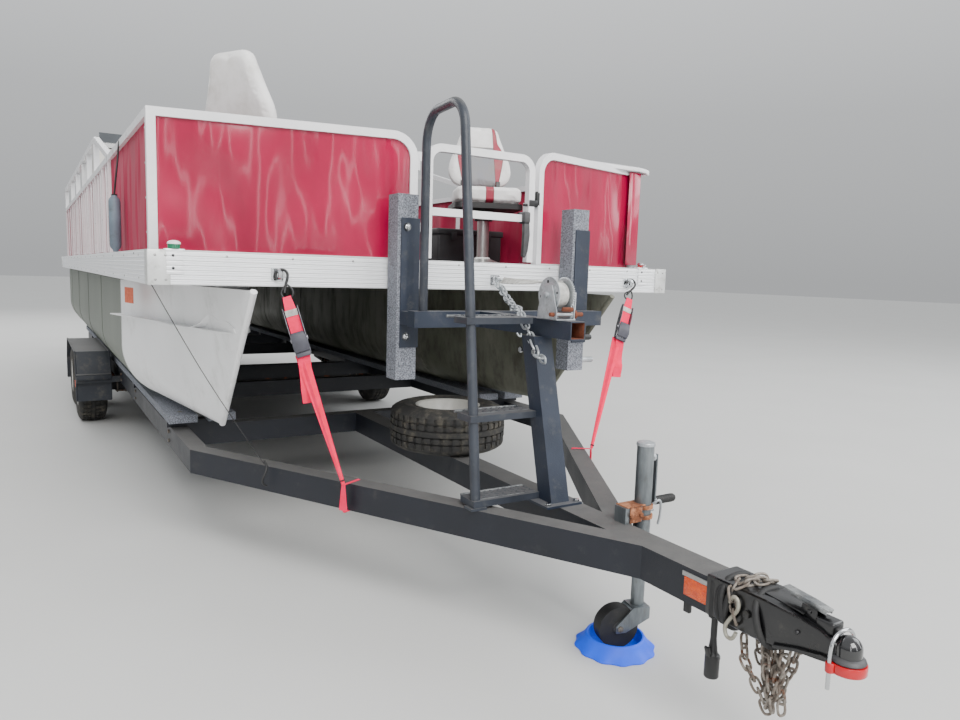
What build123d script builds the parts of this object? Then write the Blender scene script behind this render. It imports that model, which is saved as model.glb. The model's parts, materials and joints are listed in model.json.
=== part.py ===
"""Pontoon boat on its tandem trailer, parked on the tongue jack.

Millimetres, +Z up. The bow and the tongue point along -Y, starboard is -X.
The origin lies on the ground in the middle of the whole outline.
"""
import os
from math import atan2, cos, degrees, hypot, radians, sin

from build123d import *

# Deck
BEAM = 2440
DECK_LENGTH = 7156
DECK_FRONT = -3037          # y of the deck's front edge in the model frame
DECK_UNDERSIDE = 1151
DECK_TRIM_HEIGHT = 120
DECK_TRIM_THICK = 25
FLUTED_HEIGHT = 99
FLUTE_COUNT = 6
FLUTE_DEPTH = 3
FLUTE_HEIGHT = 5
BOARD_THICK = 20
BOARD_BELOW_TRIM = 3        # how far the carpet lies under the trim's top
BEAM_PITCH = 440
BEAM_WIDTH = 60
BEAM_WALL = 5
EYE_RADIUS = 22
EYE_BAR = 5
EYE_PLATE = 3
EYES = (-780, 182, 962)
EYE_LEVEL = 1196

# Pontoons
PONTOON_OFFSET = 867
PONTOON_RADIUS = 290
KEEL_HEIGHT = 502
PONTOON_TOP = 1135
PONTOON_END = DECK_LENGTH - 256
NOSE_LENGTH = 1520
STEM_TIP_BACK = 540
STEM_TIP_RISE = 30
STEM_RADIUS = 12
RISER_WIDTH = 120
KEEL_STRIP_WIDTH = 24
KEEL_STRIP_DEPTH = 10
FIN_HEIGHT = 955
FIN_WIDTH = 55
FIN_THICK = 5

# Fences
TUBE = 32
FENCE_TOP = 1785
FENCE_INSET = 30
BOW_FENCE_SETBACK = 185
BOW_FENCE_EDGE = 28
STARBOARD_INNER = -190
PORT_INNER = 424
STERN_FENCE = DECK_LENGTH - 676
STERN_GATE_STARBOARD = -780
STERN_GATE_PORT = -180
FENCE_CORNER_RADIUS = 105
PANEL_THICK = 3
PANEL_LIFT = 8
UPPER_RAIL_TOP = 1995
UPPER_RAIL_START = 1680
UPPER_RAIL_LEVEL = 2540
POSTS = (1680, 2050, 2560, 3180, 3720, 4500, 5300)

# Gates
BOW_GATE_TOP = 1755
BOW_GATE_STARBOARD = -152
BOW_GATE_PORT = 402
GATE_MID_RAIL = 1475
GATE_LIFT = 12
GATE_RADIUS = 75
HINGE_RADIUS = 8
HINGE_LENGTH = 38
HINGE_OUT = 10
PIN_RADIUS = 3.5
PIN_CLEARANCE = 0.3
HINGE_LEVELS = (1350, 1640)
HINGE_SIDE = 15             # from the hinge axis to the gate's leg
GATE_GAP = 28
LATCH_DEPTH = 16
LATCH_HEIGHT = 45

# Chairs: column order is name, x, y, turn in degrees from facing forward
CHAIRS = (
    ("starboard_chair", -590, 705, 120),
    ("port_chair", 780, 1080, -22),
    ("helm_chair", -740, 4330, 0),
)
PEDESTAL_BASE_RADIUS = 150
PEDESTAL_BASE_HEIGHT = 42
PEDESTAL_RADIUS = 36
PEDESTAL_HEIGHT = 225
SWIVEL_RADIUS = 55
SWIVEL_HEIGHT = 60
SWIVEL_GAP = 1
PAN_WIDTH = 400
PAN_DEPTH = 380
PAN_THICK = 30
SEAT_WIDTH = 430
SEAT_DEPTH = 420
SEAT_THICK = 95
BACK_WIDTH = 430
BACK_TOP_WIDTH = 330
BACK_HEIGHT = 410
BACK_THICK = 75
BACK_LEAN = 10
BACK_GAP = 10
SEAT_SHIFT = -15
FOLD_BACK = 138             # fold axis behind the turning axis
FOLD_LIFT = 14              # fold axis above the seat pad
STRAP_X = 110
STRAP_WIDTH = 30
STRAP_THICK = 4
STRAP_GAP = 2
TAB_WIDTH = 18
FOLD_PIN = 4
EAR_RADIUS = 8
SPIGOT_RADIUS = 15
SPIGOT_HEIGHT = 40

# Helm
CONSOLE_X = -1130
CONSOLE_WIDTH = 560
CONSOLE_FRONT = 3150
CONSOLE_HEIGHT = 760
STEERING_RADIUS = 175
STEERING_RIM = 13
STEERING_TILT = 30
STEERING_SHAFT = 12
STEERING_DEPTH = 60
STEERING_REACH = 90
STEERING_HUB = 40
DASH_LENGTH = 230

# Stern bench
BENCH_STARBOARD = 20
BENCH_PORT = 1140
BENCH_DEPTH = 640
BENCH_BASE_HEIGHT = 300
BENCH_CUSHION = 110
BENCH_BACK_HEIGHT = 340
BENCH_BACK_THICK = 130
BENCH_GAP = 5

# Lights and the hanging bumper
NAV_LIGHTS = (-1135, 1060)
BUMPER_Y = 1100
BUMPER_RADIUS = 26
BUMPER_HEIGHT = 265

# Outboard
POD_HALF_WIDTH = 200
POD_START = DECK_LENGTH - 1006
POD_DEPTH = 380
TRANSOM = DECK_LENGTH + 274
TRANSOM_TOP = 1130
CHEEK_X = 70
CHEEK_THICK = 20
TILT_HEIGHT = 1190
TILT_BACK = 30
TILT_RADIUS = 14
TILT_BOSS = 24
STEER_BACK = 105
KING_PIN = 20
KING_TUBE = 34
SWIVEL_BOTTOM = 885
SWIVEL_TOP = 1205
PAN_UNDERSIDE = 1225
COWL_BOTTOM = 1260
COWL_TOP = 1690
COWL_FRONT = 125            # cowl's front arc, centred on the steering axis
COWL_REAR = 435
COWL_HALF = 165
LEG_FRONT = 50
LEG_REAR = 235
LEG_HALF = 48
PLATE_HEIGHT = 812
PROP_HEIGHT = 640
GEARCASE_RADIUS = 50
GEARCASE_END = TRANSOM + 370
SKEG_BOTTOM = 455
PROP_RADIUS = 150
PROP_HUB = 42
PROP_LENGTH = 84
PROP_SHAFT = 14
BLADE_COUNT = 3
BLADE_PITCH = 32

# Trailer
FRAME_TOP = 437
FRAME_TUBE = 102
RAIL_WIDTH = 76
FRAME_HALF = PONTOON_OFFSET + 139
FRAME_CORNER = 515
FRAME_END = PONTOON_END - 300
TONGUE_HALF = 51
TONGUE_FRONT = -1635
TONGUE_END = 1080
RAIL_MEETS_TONGUE = {-1: -1219, 1: -1070}   # starboard, port
CROSSMEMBERS = (1050, 2350, 3180, 4860, 5850)
BUNK_WIDTH = 130
BUNK_THICK = 38
BUNK_SPREAD = 90
BUNK_START = 950
BUNK_END = PONTOON_END - 250
BUNK_TOP = 502.7
AXLES = (3640, 4330)
FENDER_INNER = FRAME_HALF + 59
FENDER_WIDTH = 230
TYRE_CENTRE = FENDER_INNER + FENDER_WIDTH / 2
AXLE_HALF = TYRE_CENTRE - 135
SPINDLE_END = TYRE_CENTRE + 44
SPRING_X = FRAME_HALF - 38
TYRE_RADIUS = 260
TYRE_WIDTH = 200
RIM_RADIUS = 138
RIM_WIDTH = 170
RIM_WALL = 7
TYRE_SHOULDER = 42
SPINDLE_RADIUS = 20
SPINDLE_CLEARANCE = 0.3
HUB_RADIUS = 45
WHEEL_DISC = 35             # wheel disc's outer face, outboard of the tyre's middle
HUB_INNER = -60
HUB_OUTER = 46
CAP_OUTER = 68
AXLE_TUBE = 60
SPRING_WIDTH = 50
SPRING_HALF = 300
SPRING_THICK = 20
FENDER_TOP = 556
FENDER_THICK = 5
FENDER_BOTTOM = 200
FENDER_REACH = 330          # from an axle to the fender's end
FENDER_KNEE = 380
FENDER_SLOPE = 120
FENDER_ARM = 40

# Jack
JACK_X = 130
JACK_Y = -1030
JACK_RADIUS = 28
JACK_TOP = 690
JACK_BOTTOM = 330
JACK_INNER_RADIUS = 22
CLAMP_HEIGHT = 52
CRANK_TOP = 640
CRANK_GRIP = 489
CRANK_REACH = 24
FORK_RISE = 68
DOCK_WELL = 84
CASTER_RADIUS = 70
CASTER_WIDTH = 46
CASTER_BACK = 75
CASTER_TURN = 165
CASTER_AXLE = 8
FORK_THICK = 5
DOCK_RADIUS = 135
DOCK_HEIGHT = 46
DOCK_TAPER = 40
DOCK_FLOOR = 4

# Winch stand
POST_X = -30
POST = 76
POST_BASE = -760
POST_TOP = -620
PLATE = 8
STAND_TUBE = 63
STAND_LEVEL = 1040
ARM_FRONT = -815
CROSSBAR_Y = -200
STOP_SIZE = 88
STOP_Y = -55
STOPS = (-292, 575)
STOP_BOTTOM = 790
STOP_TOP = 1520
ANGLE_BOTTOM = 920
ANGLE_TOP = 1430
ANGLE_WIDTH = 60
ANGLE_THICK = 6
LADDER_X = -316
LADDER_LEAN = 176
TREAD_THICK = 22
TREAD_DEPTH = 90
LADDER_TUBE = 17
LADDER_TOP = 1810
LADDER_FOOT = -705
LADDER_FOOT_PLATE = 8
LADDER_STEPS = (468, 750, 1075)

# Winch
WINCH_X = -8
WINCH_Y = -700
WINCH_Z = 1157
WINCH_DRUM = 45
WINCH_FLANGE = 62
WINCH_HALF = 40

# Tie-downs: eye, then where the strap meets its rail
TIE_DOWNS = ((-780, (-556, -262, 441.2)), (962, (560, -190, 444)))
TIE_GAP = 2.7
WEB_THICK = 3
RATCHET_DOWN = 190

# Coupler
COUPLER_WALL = 6
COUPLER_SLEEVE = 150
BALL_Y = -1850
SOCKET_RADIUS = 26
DOME_RADIUS = 40
DOME_BOTTOM = 368
DOME_TOP = 428
SOCKET_DEPTH = 44
LOCK_RADIUS = 46
LOCK_THICK = 24
CHAIN_AFT = -1595
CHAIN_FORE = -1780
CHAIN_BOTTOM = 115
PLUG_X = -20
PLUG_Y = -1475
PLUG_BOTTOM = 140

# Spare
SPARE_X = 38
SPARE_Y = 135
SPARE_STUD = 12

os.makedirs("parts", exist_ok=True)

deck_top = DECK_UNDERSIDE + DECK_TRIM_HEIGHT
board_top = deck_top - BOARD_BELOW_TRIM
board_bottom = board_top - BOARD_THICK
half_beam = BEAM / 2


def plan(z):
    """Level plane: sketch x runs to port, sketch y runs aft from the deck's front."""
    return Plane(origin=(0, DECK_FRONT, z))


def side(x):
    """Upright plane along the boat: sketch x runs aft, sketch y is the height."""
    return Plane(origin=(x, DECK_FRONT, 0), x_dir=(0, 1, 0), z_dir=(1, 0, 0))


def front(y):
    """Upright plane across the boat: sketch x runs to port, sketch y is the height."""
    return Plane(origin=(0, DECK_FRONT + y, 0), x_dir=(1, 0, 0), z_dir=(0, -1, 0))


def upright(x, y, angle):
    """Upright plane through (x, y) whose sketch x runs at this angle from port, aft positive."""
    run = (cos(radians(angle)), sin(radians(angle)), 0)
    return Plane(origin=(x, DECK_FRONT + y, 0), x_dir=run, z_dir=(run[1], -run[0], 0))


def place(x, y, z):
    """A point given from the deck's front, in the model frame."""
    return (x, DECK_FRONT + y, z)


def keep(piece, label):
    """Label a finished piece and write its file."""
    piece.part.label = label
    export_step(piece.part, f"parts/{label}.step")


def hull_section(x, y):
    """Face of a pontoon's U section, upright across the boat."""
    with BuildSketch(front(y), mode=Mode.PRIVATE) as section:
        with BuildLine():
            Polyline(
                (x - PONTOON_RADIUS, pontoon_centre),
                (x - PONTOON_RADIUS, PONTOON_TOP),
                (x + PONTOON_RADIUS, PONTOON_TOP),
                (x + PONTOON_RADIUS, pontoon_centre),
            )
            ThreePointArc(
                (x + PONTOON_RADIUS, pontoon_centre), (x, KEEL_HEIGHT), (x - PONTOON_RADIUS, pontoon_centre)
            )
        make_face()
    return section.sketch


# Pontoons: a U section that narrows to a raked stem
pontoon_centre = KEEL_HEIGHT + PONTOON_RADIUS
tip_height = KEEL_HEIGHT + STEM_TIP_RISE
stem_length = hypot(STEM_TIP_BACK, PONTOON_TOP - tip_height)
for name, x in (("pontoon_starboard", -PONTOON_OFFSET), ("pontoon_port", PONTOON_OFFSET)):
    stem = Plane(
        origin=place(x, STEM_TIP_BACK, tip_height),
        x_dir=(1, 0, 0),
        z_dir=(0, tip_height - PONTOON_TOP, -STEM_TIP_BACK),
    )
    with BuildPart() as pontoon:
        extrude(hull_section(x, PONTOON_END), amount=PONTOON_END - NOSE_LENGTH)
        with BuildSketch(stem, mode=Mode.PRIVATE) as bow:
            with BuildLine():
                Polyline(
                    (-STEM_RADIUS, STEM_RADIUS),
                    (-STEM_RADIUS, stem_length),
                    (STEM_RADIUS, stem_length),
                    (STEM_RADIUS, STEM_RADIUS),
                )
                ThreePointArc((STEM_RADIUS, STEM_RADIUS), (0, 0), (-STEM_RADIUS, STEM_RADIUS))
            make_face()
        loft((hull_section(x, NOSE_LENGTH), bow.sketch))
        # Riser that carries the crossbeams, and the keel strip
        with BuildSketch(front(PONTOON_END - 100)):
            with Locations((x, (PONTOON_TOP + DECK_UNDERSIDE + 9) / 2)):
                Rectangle(RISER_WIDTH, DECK_UNDERSIDE + 9 - PONTOON_TOP)
        extrude(amount=PONTOON_END - 400)
        with BuildSketch(front(PONTOON_END)):
            with Locations((x, KEEL_HEIGHT - KEEL_STRIP_DEPTH / 2 + 2)):
                Rectangle(KEEL_STRIP_WIDTH, KEEL_STRIP_DEPTH + 4)
        extrude(amount=PONTOON_END - NOSE_LENGTH)
        # Spray fins along both sides of the nose
        fin_start = STEM_TIP_BACK * (PONTOON_TOP - FIN_HEIGHT) / (PONTOON_TOP - tip_height)
        for hand in (-1, 1):
            with BuildSketch(plan(FIN_HEIGHT)):
                with BuildLine():
                    Polyline(
                        (x, fin_start),
                        (x + hand * (STEM_RADIUS + FIN_WIDTH), fin_start + 150),
                        (x + hand * (PONTOON_RADIUS + FIN_WIDTH), NOSE_LENGTH),
                        (x + hand * PONTOON_RADIUS / 2, NOSE_LENGTH),
                        close=True,
                    )
                make_face()
            extrude(amount=FIN_THICK)
    keep(pontoon, name)

# Crossbeams: open channels across both pontoons
beam_bottom = DECK_UNDERSIDE + 9
beam_height = board_bottom - beam_bottom
beam_count = int((DECK_LENGTH - 2 * DECK_TRIM_THICK) // BEAM_PITCH)
with BuildPart() as crossbeams:
    with BuildSketch(side(-half_beam + DECK_TRIM_THICK)):
        with Locations((DECK_LENGTH / 2, beam_bottom + beam_height / 2)):
            with GridLocations(BEAM_PITCH, 1, beam_count, 1):
                Rectangle(BEAM_WIDTH, beam_height)
                with Locations((BEAM_WALL, 0)):
                    Rectangle(BEAM_WIDTH, beam_height - 2 * BEAM_WALL, mode=Mode.SUBTRACT)
    extrude(amount=BEAM - 2 * DECK_TRIM_THICK)
keep(crossbeams, "deck_crossbeams")

with BuildPart() as deck_board:
    with BuildSketch(plan(board_bottom)):
        with Locations((0, DECK_LENGTH / 2)):
            Rectangle(BEAM - 2 * DECK_TRIM_THICK, DECK_LENGTH - 2 * DECK_TRIM_THICK)
    extrude(amount=BOARD_THICK)
keep(deck_board, "deck_board")

# Fluted edge trim
with BuildPart() as deck_trim:
    with BuildSketch(plan(DECK_UNDERSIDE)):
        with Locations((0, DECK_LENGTH / 2)):
            Rectangle(BEAM, DECK_LENGTH)
            Rectangle(BEAM - 2 * DECK_TRIM_THICK, DECK_LENGTH - 2 * DECK_TRIM_THICK, mode=Mode.SUBTRACT)
    extrude(amount=DECK_TRIM_HEIGHT)
    for i in range(FLUTE_COUNT):
        flute_pitch = FLUTED_HEIGHT / FLUTE_COUNT
        with BuildSketch(plan(DECK_UNDERSIDE + (i + 0.5) * flute_pitch)):
            with Locations((0, DECK_LENGTH / 2)):
                Rectangle(BEAM, DECK_LENGTH)
                Rectangle(BEAM - 2 * FLUTE_DEPTH, DECK_LENGTH - 2 * FLUTE_DEPTH, mode=Mode.SUBTRACT)
        extrude(amount=FLUTE_HEIGHT, mode=Mode.SUBTRACT)
keep(deck_trim, "deck_trim")

# Lashing eyes on the trim's front face
with BuildPart() as eyes:
    for x in EYES:
        with BuildSketch(front(0)):
            with Locations((x, EYE_LEVEL)):
                Rectangle(2 * EYE_RADIUS, 2 * EYE_RADIUS)
        extrude(amount=EYE_PLATE)
        with BuildSketch(side(x)):
            with Locations((4 - EYE_RADIUS, EYE_LEVEL)):
                Circle(EYE_RADIUS)
                Circle(EYE_RADIUS - 2 * EYE_BAR, mode=Mode.SUBTRACT)
            with Locations((EYE_RADIUS, EYE_LEVEL)):
                Rectangle(2 * EYE_RADIUS, 2 * EYE_RADIUS, mode=Mode.SUBTRACT)
        extrude(amount=EYE_BAR, both=True)
keep(eyes, "deck_eyes")

# Fences: frames of square tube with sheet panels between the posts
fence_bottom = board_top
corner_x = half_beam - FENCE_INSET
window_bottom = fence_bottom + PANEL_LIFT
window_top = FENCE_TOP - TUBE


for name, hand, inner_x, stern_inner in (
    ("starboard", -1, STARBOARD_INNER, STERN_GATE_STARBOARD),
    ("port", 1, PORT_INNER, STERN_GATE_PORT),
):
    reach = abs(hand * corner_x - inner_x)
    length = hypot(reach, BOW_FENCE_SETBACK)
    turn = degrees(atan2(BOW_FENCE_SETBACK, reach))
    if hand < 0:
        bow_plane = upright(-corner_x, BOW_FENCE_EDGE + BOW_FENCE_SETBACK, -turn)
    else:
        bow_plane = upright(inner_x, BOW_FENCE_EDGE, turn)
    side_start = BOW_FENCE_EDGE + BOW_FENCE_SETBACK
    side_x = corner_x - TUBE if hand > 0 else -corner_x
    stern_reach = abs(hand * corner_x - stern_inner)
    with BuildPart() as frame:
        # Bow frame with its rounded inner corner; sketch x runs to port
        with BuildSketch(bow_plane) as bow_face:
            with Locations((length / 2, (fence_bottom + FENCE_TOP) / 2)):
                Rectangle(length, FENCE_TOP - fence_bottom)
            rounded = bow_face.vertices().group_by(Axis.Y)[-1].sort_by(Axis.X)[-1 if hand < 0 else 0]
            fillet(rounded, FENCE_CORNER_RADIUS)
            with BuildSketch(mode=Mode.PRIVATE) as opening:
                with Locations((length / 2, (window_bottom + window_top) / 2)):
                    Rectangle(length - 2 * TUBE, window_top - window_bottom)
                inner = opening.vertices().group_by(Axis.Y)[-1].sort_by(Axis.X)[-1 if hand < 0 else 0]
                fillet(inner, FENCE_CORNER_RADIUS - TUBE)
            add(opening.sketch, mode=Mode.SUBTRACT)
        extrude(amount=-TUBE)
        # Side frame with its posts
        with BuildSketch(side(side_x)):
            with BuildLine():
                Polyline(
                    (side_start, fence_bottom),
                    (side_start, FENCE_TOP),
                    (UPPER_RAIL_START, FENCE_TOP),
                    (UPPER_RAIL_LEVEL, UPPER_RAIL_TOP),
                    (STERN_FENCE, UPPER_RAIL_TOP),
                    (STERN_FENCE, fence_bottom),
                    close=True,
                )
            make_face()
            with BuildLine():
                Polyline(
                    (UPPER_RAIL_START + 4 * TUBE, FENCE_TOP),
                    (UPPER_RAIL_LEVEL, UPPER_RAIL_TOP - TUBE),
                    (STERN_FENCE - TUBE, UPPER_RAIL_TOP - TUBE),
                    (STERN_FENCE - TUBE, FENCE_TOP),
                    close=True,
                )
            make_face(mode=Mode.SUBTRACT)
            edges_y = (side_start, *POSTS, STERN_FENCE - TUBE)
            for fore, aft in zip(edges_y, edges_y[1:]):
                bay = aft - fore - TUBE
                with Locations((fore + TUBE + bay / 2, (window_bottom + window_top) / 2)):
                    Rectangle(bay, window_top - window_bottom, mode=Mode.SUBTRACT)
        extrude(amount=TUBE)
        # Short posts under the upper rail
        with BuildSketch(side(side_x)):
            for post in POSTS:
                if post > UPPER_RAIL_LEVEL:
                    with Locations((post + TUBE / 2, (FENCE_TOP + UPPER_RAIL_TOP) / 2)):
                        Rectangle(TUBE, UPPER_RAIL_TOP - FENCE_TOP)
        extrude(amount=TUBE)
        # Stern frame
        stern_left = min(hand * corner_x, stern_inner)
        with BuildSketch(front(STERN_FENCE)):
            with Locations((stern_left + stern_reach / 2, (fence_bottom + FENCE_TOP) / 2)):
                Rectangle(stern_reach, FENCE_TOP - fence_bottom)
            with Locations((stern_left + stern_reach / 2, (window_bottom + window_top) / 2)):
                Rectangle(stern_reach - 2 * TUBE, window_top - window_bottom, mode=Mode.SUBTRACT)
        extrude(amount=TUBE)
        if name == "starboard":
            # Pins and brackets that carry both gates
            for hinge_x, face_y in (
                (BOW_GATE_STARBOARD - HINGE_SIDE, BOW_FENCE_EDGE + TUBE),
                (STERN_GATE_STARBOARD + GATE_GAP - HINGE_SIDE, STERN_FENCE),
            ):
                for level in HINGE_LEVELS:
                    with BuildSketch(plan(level)):
                        with Locations((hinge_x, face_y + HINGE_OUT)):
                            Circle(HINGE_RADIUS)
                        with Locations((hinge_x - 19, face_y + HINGE_OUT / 2 - 1)):
                            Rectangle(38, HINGE_OUT + 2)
                    extrude(amount=HINGE_LENGTH)
                    with BuildSketch(plan(level)):
                        with Locations((hinge_x, face_y + HINGE_OUT)):
                            Circle(PIN_RADIUS)
                    extrude(amount=2 * HINGE_LENGTH)
    keep(frame, f"fence_frame_{name}")

    with BuildPart() as panels:
        with BuildSketch(bow_plane.offset(-TUBE / 2)) as bow_sheet:
            with Locations((length / 2, (window_bottom + window_top) / 2)):
                Rectangle(length - 2 * TUBE, window_top - window_bottom)
            inner = bow_sheet.vertices().group_by(Axis.Y)[-1].sort_by(Axis.X)[-1 if hand < 0 else 0]
            fillet(inner, FENCE_CORNER_RADIUS - TUBE)
        extrude(amount=PANEL_THICK)
        with BuildSketch(side(side_x + TUBE / 2)):
            for fore, aft in zip(edges_y, edges_y[1:]):
                bay = aft - fore - TUBE
                with Locations((fore + TUBE + bay / 2, (window_bottom + window_top) / 2)):
                    Rectangle(bay, window_top - window_bottom)
        extrude(amount=PANEL_THICK)
        with BuildSketch(front(STERN_FENCE - TUBE / 2)):
            with Locations((stern_left + stern_reach / 2, (window_bottom + window_top) / 2)):
                Rectangle(stern_reach - 2 * TUBE, window_top - window_bottom)
        extrude(amount=PANEL_THICK)
    keep(panels, f"fence_panels_{name}")

# Gates: hinged at their starboard legs on the fence's aft face, opening aft
for name, x0, x1, face_y, top in (
    ("bow_gate", BOW_GATE_STARBOARD, BOW_GATE_PORT, BOW_FENCE_EDGE + TUBE, BOW_GATE_TOP),
    ("stern_gate", STERN_GATE_STARBOARD + GATE_GAP, STERN_GATE_PORT - GATE_GAP, STERN_FENCE, FENCE_TOP),
):
    width = x1 - x0
    gate_bottom = fence_bottom + GATE_LIFT
    hinge_x = x0 - HINGE_SIDE
    with BuildPart() as gate:
        with BuildSketch(front(face_y)) as gate_face:
            with Locations(((x0 + x1) / 2, (gate_bottom + top) / 2)):
                Rectangle(width, top - gate_bottom)
            fillet(gate_face.vertices().group_by(Axis.Y)[-1], GATE_RADIUS)
            with BuildSketch(mode=Mode.PRIVATE) as opening:
                with Locations(((x0 + x1) / 2, (GATE_MID_RAIL + top - TUBE) / 2 + TUBE / 4)):
                    Rectangle(width - 2 * TUBE, top - TUBE - GATE_MID_RAIL - TUBE / 2)
                fillet(opening.vertices().group_by(Axis.Y)[-1], GATE_RADIUS - TUBE)
            add(opening.sketch, mode=Mode.SUBTRACT)
            with Locations(((x0 + x1) / 2, (gate_bottom + GATE_MID_RAIL - TUBE / 2) / 2)):
                Rectangle(width - 2 * TUBE, GATE_MID_RAIL - TUBE / 2 - gate_bottom, mode=Mode.SUBTRACT)
        extrude(amount=TUBE)
        if name == "stern_gate":
            with BuildSketch(front(face_y - TUBE / 2)):
                with Locations(((x0 + x1) / 2, (gate_bottom + top) / 2 - TUBE / 2)):
                    Rectangle(width - TUBE, top - gate_bottom - TUBE)
            extrude(amount=PANEL_THICK)
        # Hinge knuckles that drop over the fence's pins
        for level in HINGE_LEVELS:
            with BuildSketch(plan(level + HINGE_LENGTH + PIN_CLEARANCE)):
                with Locations((hinge_x, face_y + HINGE_OUT)):
                    Circle(HINGE_RADIUS)
                with Locations((hinge_x + HINGE_SIDE / 2 + 6, face_y + HINGE_OUT / 2)):
                    Rectangle(HINGE_SIDE + 12, HINGE_OUT)
                with Locations((hinge_x, face_y + HINGE_OUT)):
                    Circle(PIN_RADIUS + PIN_CLEARANCE, mode=Mode.SUBTRACT)
            extrude(amount=HINGE_LENGTH)
        # Latch on the free leg
        with BuildSketch(front(face_y + LATCH_DEPTH)):
            with Locations((x1 - TUBE / 2 + 6, GATE_MID_RAIL + 50)):
                Rectangle(TUBE + 8, LATCH_HEIGHT)
        extrude(amount=LATCH_DEPTH)
    keep(gate, name)

# Chairs: a fixed pedestal, a turning frame, a seat pad and a back pad that folds forward
pedestal_top = board_top + PEDESTAL_BASE_HEIGHT + PEDESTAL_HEIGHT
pan_bottom = pedestal_top + SWIVEL_GAP + SWIVEL_HEIGHT
seat_bottom = pan_bottom + PAN_THICK
seat_top = seat_bottom + SEAT_THICK
fold_height = seat_top + FOLD_LIFT


def chair_plane(chair, z):
    """Level plane on a chair's turning axis; sketch y runs to the chair's back."""
    x, y, turn = chair
    return Plane(origin=place(x, y, z), x_dir=(cos(radians(turn)), sin(radians(turn)), 0))


def back_plane(chair):
    """Plane of a back pad's front face, through its fold axis and leaning back."""
    level = chair_plane(chair, fold_height)
    lean = radians(BACK_LEAN)
    origin = level.origin + level.y_dir * FOLD_BACK
    return Plane(origin=origin, x_dir=level.x_dir, z_dir=level.z_dir * sin(lean) - level.y_dir * cos(lean))


def fold_plane(chair, x):
    """Plane square to a chair's fold axis; sketch x runs to the chair's back, y up."""
    level = chair_plane(chair, fold_height)
    origin = level.origin + level.y_dir * FOLD_BACK + level.x_dir * x
    return Plane(origin=origin, x_dir=level.y_dir, z_dir=level.x_dir)


with BuildPart() as pedestals:
    for name, *chair in CHAIRS:
        with BuildSketch(Plane(origin=place(chair[0], chair[1], 0), x_dir=(1, 0, 0), z_dir=(0, -1, 0))):
            with BuildLine():
                Polyline(
                    (0, board_top),
                    (PEDESTAL_BASE_RADIUS, board_top),
                    (PEDESTAL_BASE_RADIUS, board_top + 6),
                    (PEDESTAL_RADIUS + 14, board_top + PEDESTAL_BASE_HEIGHT),
                    (PEDESTAL_RADIUS, board_top + PEDESTAL_BASE_HEIGHT),
                    (PEDESTAL_RADIUS, pedestal_top),
                    (SPIGOT_RADIUS, pedestal_top),
                    (SPIGOT_RADIUS, pedestal_top + SPIGOT_HEIGHT),
                    (0, pedestal_top + SPIGOT_HEIGHT),
                    close=True,
                )
            make_face()
        revolve(axis=Axis(place(chair[0], chair[1], 0), (0, 0, 1)))
keep(pedestals, "chair_pedestals")

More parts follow.
